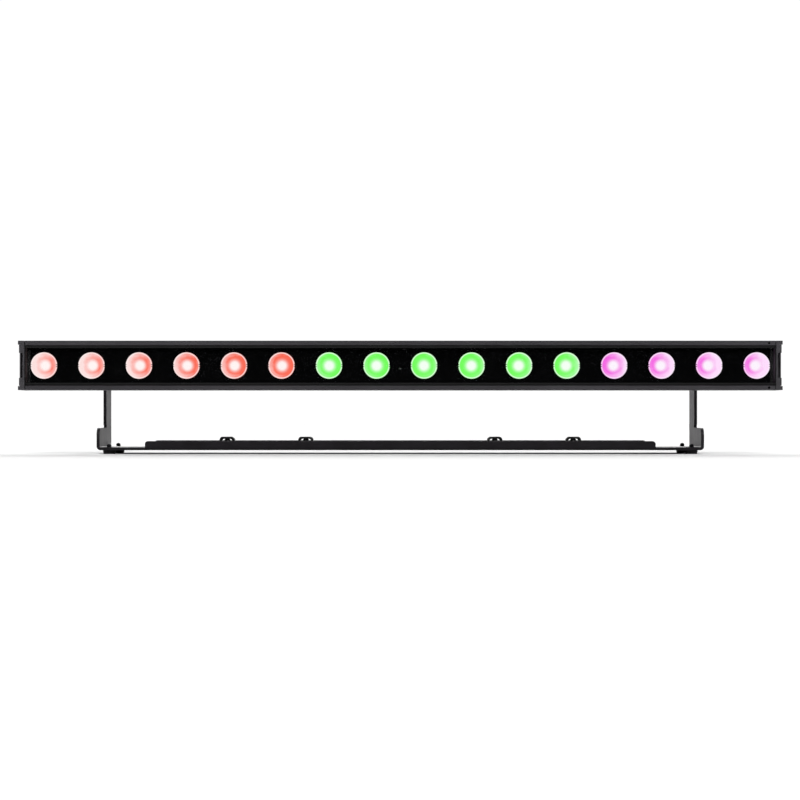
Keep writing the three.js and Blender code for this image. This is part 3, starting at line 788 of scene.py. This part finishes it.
def centre_of(node):
    low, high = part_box(node)
    return mm((low + high) / 2)


# ---- head ----
def build_lenses():
    front = LENS_BOX[0].y / MM
    r = LENS_R / MM
    # radius, and depth behind the front: core, wall of the cup, rim, then the back
    profile = [
        (0, 12.0),
        (4.0, 12.05),
        (6.4, 12.3),
        (7.2, 12.45),
        (7.6, 12.1),
        (8.2, 11.3),
        (9.4, 9.6),
        (11.0, 7.2),
        (12.6, 4.6),
        (14.1, 2.5),
        (15.2, 1.15),
        (r - 1.5, 0.5),
        (r - 1.1, 0.15),
        (r - 0.75, 0.0),
        (r - 0.35, 0.06),
        (r - 0.1, 0.3),
        (r, 0.7),
        (r, 2.3),
        (r - 1.0, 2.6),
        (7.8, 15.0),
        (5.5, 15.0),
        (5.5, 13.1),
        (0, 13.1),
    ]
    end = abs(centre_of(LENS_NAMES[0])[0])
    for name, look in zip(LENS_NAMES, LENS_ROW):
        x, _, z = centre_of(name)
        reach = abs(x) / end
        at = (x, front, z)
        optic = Shape().lathe("y", at, profile, 72).finish(
            "optic_" + name[-2:], "head", look, origin=Vector(at) * MM, replaces=[name]
        )
        t = min(max((reach - WASH_FROM) / (1 - WASH_FROM), 0), 1)
        optic["side"] = math.copysign(SIDE_WASH + SIDE_WASH_RISE[look] * reach, x)
        optic["wash"] = WASH_MIDDLE + WASH_RISE * t * t * (3 - 2 * t)


def build_mask():
    low, high = box_of("lens_mask")
    r = LENS_R / MM + LENS_GAP
    holes = [circle(x, z, r, 72) for x, _, z in map(centre_of, LENS_NAMES)]
    sensor = centre_of("status_sensor")
    holes.append(circle(sensor[0], sensor[2], SENSOR_HOLE_R, 32))
    outline = rounded(low[0], high[0], low[2], high[2], 1.0, 3)
    mesh = sheet_with_holes("mask_panel", outline, holes, high[1] - low[1], 0.25)
    stand_up(mesh, high[1])
    add_piece("mask_panel", mesh, "head", "mask_black", replaces=["lens_mask"])


def build_clips():
    """Two small hooks on each side of a lens, level with its centre, that hold it in the mask."""
    over_lens, over_mask = 1.0, 1.1
    off_level, half = 1.25, 0.55
    stand_out = 0.75
    shape = Shape()
    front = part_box("lens_mask")[0].y / MM
    r = LENS_R / MM
    for name in LENS_NAMES:
        x, _, z = centre_of(name)
        for side in (-1, 1):
            for dz in (-off_level, off_level):
                a, b = sorted((x + side * (r - over_lens), x + side * (r + over_mask)))
                low = (a, front - stand_out, z + dz - half)
                shape.box(low, (b, front - 0.05, z + dz + half))
    shape.finish("lens_clips", "head", "mask_black", bevel=0.2)


def build_sensor():
    x, _, z = centre_of("status_sensor")
    at = (x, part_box("lens_mask")[0].y / MM, z)
    bead = [(0, -0.75), (0.55, -0.65), (0.95, -0.3), (1.1, 0.2), (1.1, 2.0), (0, 2.0)]
    Shape().lathe("y", at, bead, 32).finish(
        "sensor_bead", "head", "sensor_bead", replaces=["status_sensor"]
    )
    ring = [(1.15, -0.25), (1.8, -0.3), (2.2, 0.0), (2.2, 15.0), (1.15, 15.0)]
    Shape().lathe("y", at, ring, 32).finish("sensor_ring", "head", "mask_black")


def screw(shape, axis, at, head_r, head_h, socket_r, sign=1):
    """A socket head screw. sign is the way the head stands out along the axis."""
    socket_depth, chamfer = 1.4, 0.35
    profile = [
        (0, head_h - socket_depth),
        (socket_r, head_h - socket_depth),
        (socket_r, head_h),
        (head_r - chamfer, head_h),
        (head_r, head_h - chamfer),
        (head_r, 0),
        (0, 0),
    ]
    shape.lathe(axis, at, [(r, sign * h) for r, h in profile], 24)


def build_rim_hole_shade_screws():
    """Flat-head screws in the two rim holes near the right end, in a near-black that paints the
    shade of the deep holes.
    """
    shape = Shape()
    profile = [
        (0, 0.8),
        (0.7, 0.8),
        (0.8, -0.04),
        (1.5, -0.1),
        (1.62, 0.04),
        (1.2, 0.4),
        (1.2, 6),
        (0, 6),
    ]
    x = HEAD_HIGH.x / MM - RIM_SCREW_INSET
    for side in (-1, 1):
        z = AXIS_Z / MM + side * ((HEAD_HIGH.z - HEAD_LOW.z) / 2 / MM - RIM_SCREW_DROP)
        shape.lathe("y", (x, FRONT_Y / MM, z), profile, 24)
    # the near-black of these screws is painted shade inside the rim holes
    shape.finish("rim_hole_shade_screws", "head", "mask_black")


def build_cap_screws():
    for side, word in SIDES:
        low, high = box_of("end_cap_" + word)
        face = (high[0] if side > 0 else low[0]) - side * CAP_EAR
        shape = Shape()
        for back, up in CAP_SCREWS:
            at = (face - side * CAP_SCREW_SEAT, low[1] + back, AXIS_Z / MM + up)
            screw(shape, "x", at, 2.9, 2.2, 1.4, side)
        shape.finish("cap_screws_" + word, "head", "dark_steel", slot="zinc_steel")


def build_bracket_screws():
    washer = [(0, -0.05), (4.6, -0.05), (4.6, 0.8), (4.2, 1.0), (0, 1.0)]
    base = REAR_Y / MM + CLEARANCE + BRACKET_SHEET + CLEARANCE
    for side, word in SIDES:
        shape = Shape()
        for dz in (BRACKET_SCREW_Z, -BRACKET_SCREW_Z):
            x, z = side * BRACKET_SCREW_X, AXIS_Z / MM + dz
            shape.lathe("y", (x, base, z), washer, 32)
            screw(shape, "y", (x, base + 1.0, z), 3.6, 3.4, 1.9)
        shape.finish("bracket_screws_" + word, "head", "dark_steel", slot="zinc_steel")


# ---- rear controls ----
def power_contacts(insert, contacts, x, z, floor, face):
    """Three blades around a post, and two keys at the wall."""
    for k in range(3):
        u, w = polar(x, z, 4.6, math.radians(90 + 120 * k))
        blade = rounded(u - 1.9, u + 1.9, w - 0.5, w + 0.5, 0.3, 2)
        contacts.prism("y", blade, floor, floor + 8.5)
    post = [(0, 0), (2.2, 0), (2.2, 9), (1.6, 9.6), (0, 9.6)]
    insert.lathe("y", (x, floor, z), post, 32)
    for k in range(2):
        u, w = polar(x, z, 8.4, math.radians(20 + 160 * k))
        key = rounded(u - 0.9, u + 0.9, w - 1.1, w + 1.1, 0.4, 2)
        insert.prism("y", key, floor, face - 2)


def data_contacts(insert, contacts, x, z, floor, face):
    """Five pins on a raised disc, and one key above them."""
    disc = [(0, 0), (8.6, 0), (8.6, 4), (8.2, 4.4), (0, 4.4)]
    insert.lathe("y", (x, floor, z), disc, 40)
    pin = [(0, 0), (0.75, 0), (0.75, 5.6), (0.4, 6.2), (0, 6.2)]
    for k in range(5):
        u, w = polar(x, z, 4.9, math.radians(-54 + 72 * k))
        contacts.lathe("y", (u, floor + 4.3, w), pin, 16)
    key = rounded(x - 1.0, x + 1.0, z + 7.0, z + 9.0, 0.4, 2)
    insert.prism("y", key, floor + 4, face - 2)


def build_sockets():
    plate_rear = REAR_Y / MM + SOCKET_PLATE_REAR
    barrel = [
        (0, -SOCKET_DEPTH),
        (9.2, -SOCKET_DEPTH),
        (9.2, -0.6),
        (9.6, 0),
        (10.6, 0),
        (11.1, -0.4),
        (11.1, -6.5),
        (11.1, -27),
        (0, -27),
    ]
    for name in ("power_inlet", "power_outlet", "data_inlet", "data_outlet"):
        low, high = box_of(name)
        x, _, z = centre_of(name)
        face = high[1]
        outline = rounded(low[0], high[0], low[2], high[2], 2.5)
        hole = circle(x, z, SOCKET_HOLE_R)
        plate = sheet_with_holes(name + "_plate", outline, [hole], SOCKET_PLATE, 0.3)
        stand_up(plate, plate_rear)
        add_piece(name + "_plate", plate, "head", "socket_plastic", replaces=[name])
        shape = Shape().lathe("y", (x, face, z), barrel)
        shape.finish(name + "_barrel", "head", "socket_plastic")
        contacts = Shape()
        insert = Shape()
        fill = power_contacts if name.startswith("power") else data_contacts
        fill(insert, contacts, x, z, face - SOCKET_DEPTH, face)
        insert.finish(name + "_insert", "head", "socket_plastic", bevel=0.15)
        contacts.finish(name + "_contacts", "head", "brass_contact", slot="socket_plastic")
        screws = Shape()
        for sx, sz in ((-1, 1), (1, -1)):
            screw(screws, "y", (x + sx * 10.3, plate_rear, z + sz * 12.6), 1.9, 1.3, 0.9)
        screws.finish(name + "_screws", "head", "dark_steel", slot="zinc_steel")


def build_buttons():
    """Four keys, each with a triangle that points up, down, left or right."""
    for i, turn in enumerate((180, 90, -90, 0)):
        name, body = f"menu_button_{i + 1}", f"key_{i + 1}"
        low, high = box_of(name)
        x, _, z = centre_of(name)
        base, top = low[1], high[1]
        r = BUTTON_R
        cap = [
            (0, base),
            (r + 1.1, base),
            (r + 1.1, base + 1.1),
            (r, base + 1.1),
            (r, top - 0.9),
            (r - 0.25, top - 0.45),
            (r - 0.8, top - 0.3),
            (1.6, top - 0.42),
            (0, top - 0.45),
        ]
        Shape().lathe("y", (x, 0, z), cap, 40).finish(
            f"key_cap_{i + 1}", body, "button_plastic", replaces=[name]
        )
        mark = [polar(x, z, 1.5, math.radians(turn) + a) for a in (0, 2.3, -2.3)]
        Shape().prism("y", mark, top - 0.5, top - 0.16).finish(
            f"key_mark_{i + 1}", body, "sensor_bead", slot="button_plastic"
        )


SEGMENTS = {"0": "abcdef", "1": "bc"}


def digit(shape, text, x, z, y, size):
    """The lit bars of one digit, mirrored so that it reads the right way from behind the batten."""
    w, h, t = size * 0.5, size, size * 0.1
    bars = {
        "a": ((-w / 2, h / 2 - t / 2), (w / 2, h / 2 + t / 2)),
        "d": ((-w / 2, -h / 2 - t / 2), (w / 2, -h / 2 + t / 2)),
        "f": ((-w / 2 - t, t / 2), (-w / 2, h / 2)),
        "b": ((w / 2, t / 2), (w / 2 + t, h / 2)),
        "e": ((-w / 2 - t, -h / 2), (-w / 2, -t / 2)),
        "c": ((w / 2, -h / 2), (w / 2 + t, -t / 2)),
    }
    for key in SEGMENTS[text]:
        (u0, v0), (u1, v1) = bars[key]
        u0, u1 = sorted((-u0, -u1))
        shape.prism("y", rounded(x + u0, x + u1, z + v0, z + v1, t * 0.3, 2), y, y + 0.12)


def build_display():
    x = centre_of("display_window")[0]
    face = box_of("display_window")[1][1]
    z = AXIS_Z / MM + DIGITS_UP
    shape = Shape()
    for k, text in enumerate("001"):
        digit(shape, text, x + DIGIT_PITCH * (1 - k), z, face - 0.02, DIGIT_HEIGHT)
    shape.finish("display_digits", "head", "display_glow", slot="display_black")


def build_vent():
    """A plug with a hexagon, a round cap and a ring of eight knobs on it."""
    x, _, z = centre_of("vent_plug")
    base = REAR_Y / MM
    at = (x, 0, z)
    plug = [(0, base - 6), (4.9, base - 6), (4.9, base + 0.2), (0, base + 0.2)]
    cap = [(0, base + 3), (6.2, base + 3), (6.2, base + 5.2), (5.6, base + 6), (0, base + 6)]
    knob = [(0, base + 5.9), (0.6, base + 5.9), (0.5, base + 6.3), (0, base + 6.35)]
    shape = Shape()
    shape.lathe("y", at, plug, 32)
    shape.prism("y", circle(x, z, 7.7, 6, math.radians(30)), base + 0.05, base + 3.2)
    shape.lathe("y", at, cap, 40)
    for u, w in circle(x, z, 4.4, 8):
        shape.lathe("y", (u, 0, w), knob, 12)
    shape.finish("vent_cap", "head", "socket_plastic", bevel=0.2, replaces=["vent_plug"])


def build_panel_screws():
    low, high = box_of("rear_panel")
    shape = Shape()
    for x in (low[0] + 5, high[0] - 5, -72, 72):
        for z in (low[2] + 4.5, high[2] - 4.5):
            screw(shape, "y", (x, high[1] - 0.1, z), 2.3, 1.5, 1.1)
    shape.finish("panel_screws", "head", "dark_steel", slot="zinc_steel")


def build_safety_eye():
    low, high = box_of("safety_eye")
    z = AXIS_Z / MM
    root = low[1]
    ear_x = high[0] - 3
    shoulder = root + 7.8
    outline = [
        (root, z - EAR_HALF),
        (shoulder, z - EAR_HALF),
        *arc(root + 9.8, z, EAR_HALF, -70, 70, 24),
        (shoulder, z + EAR_HALF),
        (root, z + EAR_HALF),
    ]
    hole = circle(root + EAR_HOLE_BACK, z, EAR_HOLE_R)
    mesh = sheet_with_holes("safety_ear", outline, [hole], EAR_SHEET, 0.3)
    # the sheet's own X, Y and Z become Y, Z and X of the scene
    mesh.transform(Matrix(((0, 0, 1, 0), (1, 0, 0, 0), (0, 1, 0, 0), (0, 0, 0, 1))))
    mesh.transform(Matrix.Translation((ear_x * MM, 0, 0)))
    add_piece("safety_ear", mesh, "head", "zinc_steel", replaces=["safety_eye"])
    foot = Shape()
    plan = rounded(low[0], ear_x + 0.5, low[2], high[2], 2.5)
    foot.prism("y", plan, root, root + EAR_SHEET)
    foot.finish("safety_foot", "head", "zinc_steel", bevel=0.3)
    screws = Shape()
    for dz in (6.5, -6.5):
        screw(screws, "y", (low[0] + 6.5, root + 2.8, z + dz), 3.2, 2.6, 1.6)
    screws.finish("safety_screws", "head", "dark_steel", slot="zinc_steel")


# ---- yoke ----
def foot_pad_profile(r, top):
    """Radius and height, from the bolt's hole down to the floor and up the tapered outside."""
    return [
        (2.1, top - 0.05),
        (2.1, 2.6),
        (4.7, 2.6),
        (4.9, 0.35),
        (5.3, 0.0),
        (r - 1.4, 0.0),
        (r - 1.0, 0.15),
        (r - 0.85, 0.5),
        (r - 0.15, top - 1.0),
        (r, top - 0.7),
        (r - 0.1, top - 0.2),
        (r - 0.4, top - 0.05),
    ]


def build_feet():
    foot_low, foot_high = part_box("rubber_foot_1")
    foot_r = (foot_high.x - foot_low.x) / 2 / MM
    foot_top = foot_high.z / MM
    web_top = foot_top + CLEARANCE + YOKE_SHEET
    for i in range(4):
        name = f"rubber_foot_{i + 1}"
        x, y, _ = centre_of(name)
        pad = foot_pad_profile(foot_r, foot_top)
        Shape().lathe("z", (x, y, 0), pad, 56).finish(
            f"foot_pad_{i + 1}", "yoke", "black_rubber", replaces=[name]
        )
        bottom, top = (corner[2] for corner in box_of(f"foot_bolt_{i + 1}"))
        bolt = Shape()
        hexagon = circle(x, y, 3.2, 6, math.radians(30))
        bolt.prism("z", hexagon, web_top + 0.05, web_top + 2.9)
        collar = [(0, 2.8), (2.75, 2.8), (2.75, 3.4), (2.5, 3.8), (2.0, 4.1), (0, 4.1)]
        bolt.lathe("z", (x, y, web_top), collar, 32)
        shank = [
            (0, bottom),
            (4.1, bottom),
            (3.3, 2.4),
            (1.55, 2.4),
            (1.55, web_top + 4.0),
            (1.6, web_top + 4.15),
            (1.3, top),
            (0, top),
        ]
        bolt.lathe("z", (x, y, 0), shank, 28)
        bolt.finish(
            f"foot_nut_{i + 1}",
            "yoke",
            "dark_steel",
            slot="zinc_steel",
            bevel=0.18,
            replaces=[f"foot_bolt_{i + 1}"],
        )


def build_receptacles():
    """Each is an arch over a round socket, open at the front and rear."""
    for i in range(4):
        name = f"clamp_receptacle_{i + 1}"
        low, high = box_of(name)
        x, y, _ = centre_of(name)
        base, top = low[2], high[2]
        half = (high[0] - low[0]) / 2
        outer = [
            (x - half + 0.1, base),
            *arc(x - half + 4.7, top - 4.7, 4.6, 180, 90, 10),
            *arc(x + half - 4.7, top - 4.7, 4.6, 90, 0, 10),
            (x + half - 0.1, base),
        ]
        inner = [
            (x + half - 3.2, base + 1.6),
            *arc(x + half - 6.2, top - 6.0, 3.0, 0, 90, 8),
            *arc(x - half + 6.2, top - 6.0, 3.0, 90, 180, 8),
            (x - half + 3.2, base + 1.6),
        ]
        arch = sheet_with_holes(name + "_arch", outer, [inner], ARCH_DEPTH, 0.4)
        stand_up(arch, y + ARCH_DEPTH / 2)
        add_piece(f"receptacle_arch_{i + 1}", arch, "yoke", "receptacle_black", replaces=[name])
        wall = [
            (3.3, base + 0.1),
            (4.6, base + 0.1),
            (4.6, base + 6.4),
            (4.4, base + 7.6),
            (4.0, base + 9.0),
            (3.4, base + 10.2),
            (3.0, base + 10.9),
            (3.0, top - 2.4),
            (0, top - 2.4),
            (0, base + 6.2),
            (2.6, base + 6.2),
            (3.3, base + 5.4),
        ]
        socket = Shape().lathe("z", (x, y, 0), wall, 40)
        socket.finish(f"receptacle_stud_{i + 1}", "yoke", "receptacle_black")


def knob_outline(y, z, steps=100):
    """A star with soft lobes about y, z."""
    outline = []
    for k in range(steps):
        a = 2 * math.pi * k / steps
        wave = 2.35 * math.cos(KNOB_LOBES * a) - 0.35 * math.cos(2 * KNOB_LOBES * a)
        outline.append(polar(y, z, KNOB_R + wave, a))
    return outline


def knob_hub(tip):
    """The flange next to the arm, and the crown, as radius and distance from x = 0."""
    start = tip - 15.2
    flange = [
        (0, ARM_X + 0.4),
        (9.3, ARM_X + 0.4),
        (9.6, ARM_X + 1.2),
        (11.0, start + 0.8),
        (11.0, start + 1.5),
        (0, start + 1.5),
    ]
    crown = [
        (0, tip - 3.6),
        (9.0, tip - 3.6),
        (8.6, tip - 1.2),
        (7.8, tip - 0.3),
        (6.9, tip),
        (5.8, tip),
        (5.4, tip - 0.6),
        (0, tip - 0.6),
    ]
    return flange, crown


def knob_stud(end):
    """The stud, as radius and distance from x = 0, threaded up to the outer face of the arm."""
    stud = [(0, end), (3.2, end)]
    level = end + 0.6
    while level < ARM_X - 0.2:
        stud += [(3.75, level), (3.35, level + KNOB_THREAD_PITCH / 2)]
        level += KNOB_THREAD_PITCH
    return stud + [(3.6, ARM_X + 0.6), (0, ARM_X + 0.6)]


def build_knobs():
    at = (0, PIVOT.y / MM, PIVOT.z / MM)
    for side, word in SIDES:
        name, body = "tilt_knob_" + word, "knob_" + word
        low, high = box_of(name)
        end, tip = sorted((abs(low[0]), abs(high[0])))

        def turned(shape, profile, steps):
            return shape.lathe("x", at, [(r, side * h) for r, h in profile], steps)

        grip_from, grip_to = sorted((side * (tip - 15.0), side * (tip - 3.0)))
        Shape().prism("x", knob_outline(at[1], at[2]), grip_from, grip_to).finish(
            name + "_grip", body, "knob_plastic", bevel=1.6, segments=4, replaces=[name]
        )
        flange, crown = knob_hub(tip)
        hub = turned(turned(Shape(), flange, 48), crown, 48)
        hub.finish(name + "_hub", body, "knob_plastic")
        stud = turned(Shape(), knob_stud(end), 32)
        stud.finish(name + "_stud", body, "zinc_steel", slot="knob_plastic")


# ---- carried-over nodes ----
# Look of each CAD node that is shown as it is, and the width of its rounded edges in millimetres.
CARRIED = {
    "housing_extrusion": ("black_anodised", 0.3),
    "end_cap_left": ("cast_black", 0.5),
    "end_cap_right": ("cast_black", 0.5),
    "end_gasket_left": ("black_rubber", 0.15),
    "end_gasket_right": ("black_rubber", 0.15),
    "glass_gasket": ("black_rubber", 0.2),
    "front_glass": ("clear_glass", 0.2),
    "led_board_left": ("board_white", 0.1),
    "led_board_right": ("board_white", 0.1),
    "pivot_bracket_left": ("powder_coat", 0.4),
    "pivot_bracket_right": ("powder_coat", 0.4),
    "power_supply": ("psu_case", 0.3),
    "driver_board": ("board_green", 0.1),
    "rear_panel": ("black_anodised", 0.25),
    "display_window": ("display_black", 0.25),
    "yoke": ("powder_coat", 0.5),
    "pivot_washer_left": ("zinc_steel", 0.2),
    "pivot_washer_right": ("zinc_steel", 0.2),
}


def dress_nodes():
    for name, (look, width) in CARRIED.items():
        node = NODES[name]
        if not node.material_slots:
            node.data.materials.append(LOOKS[look])
        for held in node.material_slots:
            held.link = "OBJECT"
            held.material = LOOKS[look]
        soften(node, width)


# ---- stage, light and camera ----
def build_stage():
    size = FLOOR_HALF
    mesh = bpy.data.meshes.new("studio_floor")
    corners = [(-size, -size, 0), (size, -size, 0), (size, size, 0), (-size, size, 0)]
    mesh.from_pydata(corners, [], [(0, 1, 2, 3)])
    floor = bpy.data.objects.new("studio_floor", mesh)
    bpy.context.scene.collection.objects.link(floor)
    mat, tree, bsdf, _ = new_material("studio_floor")
    coords = tree.nodes.new("ShaderNodeTexCoord").outputs["Object"]
    greys = (0.79, 0.79, 0.79, 1), (0.81, 0.81, 0.81, 1)
    tree.links.new(mix_colour(tree, noise(tree, coords, 3, 2), *greys), bsdf.inputs["Base Color"])
    bsdf.inputs["Roughness"].default_value = 0.9
    bsdf.inputs["Specular IOR Level"].default_value = 0.0
    mesh.materials.append(mat)


def build_world():
    """A plain room, bright behind the batten and dark in front, so that the glass stays black.

    The camera itself sees a plain pale background instead, the same from every side.
    """
    world = bpy.data.worlds.new("studio")
    bpy.context.scene.world = world
    world.use_nodes = True
    tree = world.node_tree
    tree.nodes.clear()
    out = tree.nodes.new("ShaderNodeOutputWorld")
    lit = tree.nodes.new("ShaderNodeBackground")
    coords = tree.nodes.new("ShaderNodeTexCoord").outputs["Generated"]
    split = tree.nodes.new("ShaderNodeSeparateXYZ")
    tree.links.new(coords, split.inputs[0])
    y, z = split.outputs["Y"], split.outputs["Z"]
    patch = math_node(tree, "MULTIPLY", ramp(tree, y, *PATCH_AHEAD), ramp(tree, z, *PATCH_BELOW))
    room = ramp(tree, patch, 0.0, 1.0, ROOM_LIGHT, DARK_FRONT, "LINEAR")
    behind = ramp(tree, y, *BACKDROP_BEHIND)
    backdrop = math_node(tree, "MULTIPLY", behind, BACKDROP_LIGHT - ROOM_LIGHT)
    lifted = ramp(tree, z, *SOFTBOX_ABOVE)
    capped = ramp(tree, z, *SOFTBOX_BELOW)
    band = math_node(tree, "MULTIPLY", math_node(tree, "MULTIPLY", lifted, capped), behind)
    rear = math_node(tree, "MULTIPLY", band, REAR_LIGHT)
    total = math_node(tree, "ADD", room, math_node(tree, "ADD", backdrop, rear))
    lit.inputs["Color"].default_value = (1, 1, 1, 1)
    tree.links.new(total, lit.inputs["Strength"])
    seen = tree.nodes.new("ShaderNodeBackground")
    seen.inputs["Color"].default_value = (1, 1, 1, 1)
    seen.inputs["Strength"].default_value = BACKDROP_SEEN
    pick = tree.nodes.new("ShaderNodeMixShader")
    path = tree.nodes.new("ShaderNodeLightPath")
    tree.links.new(path.outputs["Is Camera Ray"], pick.inputs[0])
    tree.links.new(lit.outputs[0], pick.inputs[1])
    tree.links.new(seen.outputs[0], pick.inputs[2])
    tree.links.new(pick.outputs[0], out.inputs["Surface"])


def side_light(name, side):
    data = bpy.data.lights.new(name, "AREA")
    data.shape = "RECTANGLE"
    data.size = data.size_y = SIDE_SIZE
    data.energy = SIDE_POWER
    lamp = bpy.data.objects.new(name, data)
    place = Vector((side * SIDE_PLACE[0], *SIDE_PLACE[1:]))
    lamp.location = place
    lamp.rotation_euler = (Vector(SIDE_AIM) - place).to_track_quat("-Z", "Y").to_euler()
    bpy.context.scene.collection.objects.link(lamp)


def build_lights():
    steep = math.radians(KEY_ELEVATION)
    key = bpy.data.lights.new("key_above", "SUN")
    key.energy = KEY_STRENGTH
    key.angle = math.radians(KEY_SPREAD)
    lamp = bpy.data.objects.new("key_above", key)
    towards = Vector((0, math.cos(steep), -math.sin(steep)))
    lamp.rotation_euler = towards.to_track_quat("-Z", "Y").to_euler()
    bpy.context.scene.collection.objects.link(lamp)
    side_light("fill_left", -1)
    side_light("fill_right", 1)


def build_camera():
    """Level camera in front of the batten, below the lens row, far enough to flatten the view."""
    data = bpy.data.cameras.new("camera")
    data.sensor_width = SENSOR_WIDTH
    data.lens = FOCAL_PX * SENSOR_WIDTH / IMAGE_PX
    data.shift_y = VIEW_SHIFT
    data.clip_end = 100
    camera = bpy.data.objects.new("camera", data)
    camera.location = (CAMERA_X, FRONT_Y - CAMERA_DISTANCE, CAMERA_HEIGHT)
    camera.rotation_euler = (math.radians(90), 0, 0)
    bpy.context.scene.collection.objects.link(camera)
    bpy.context.scene.camera = camera


build_lenses()
build_mask()
build_clips()
build_sensor()
build_rim_hole_shade_screws()
build_cap_screws()
build_bracket_screws()
build_sockets()
build_buttons()
build_display()
build_vent()
build_panel_screws()
build_safety_eye()
build_feet()
build_receptacles()
build_knobs()
dress_nodes()
build_stage()
build_world()
build_lights()
build_camera()
bpy.context.scene.view_settings.view_transform = "Standard"
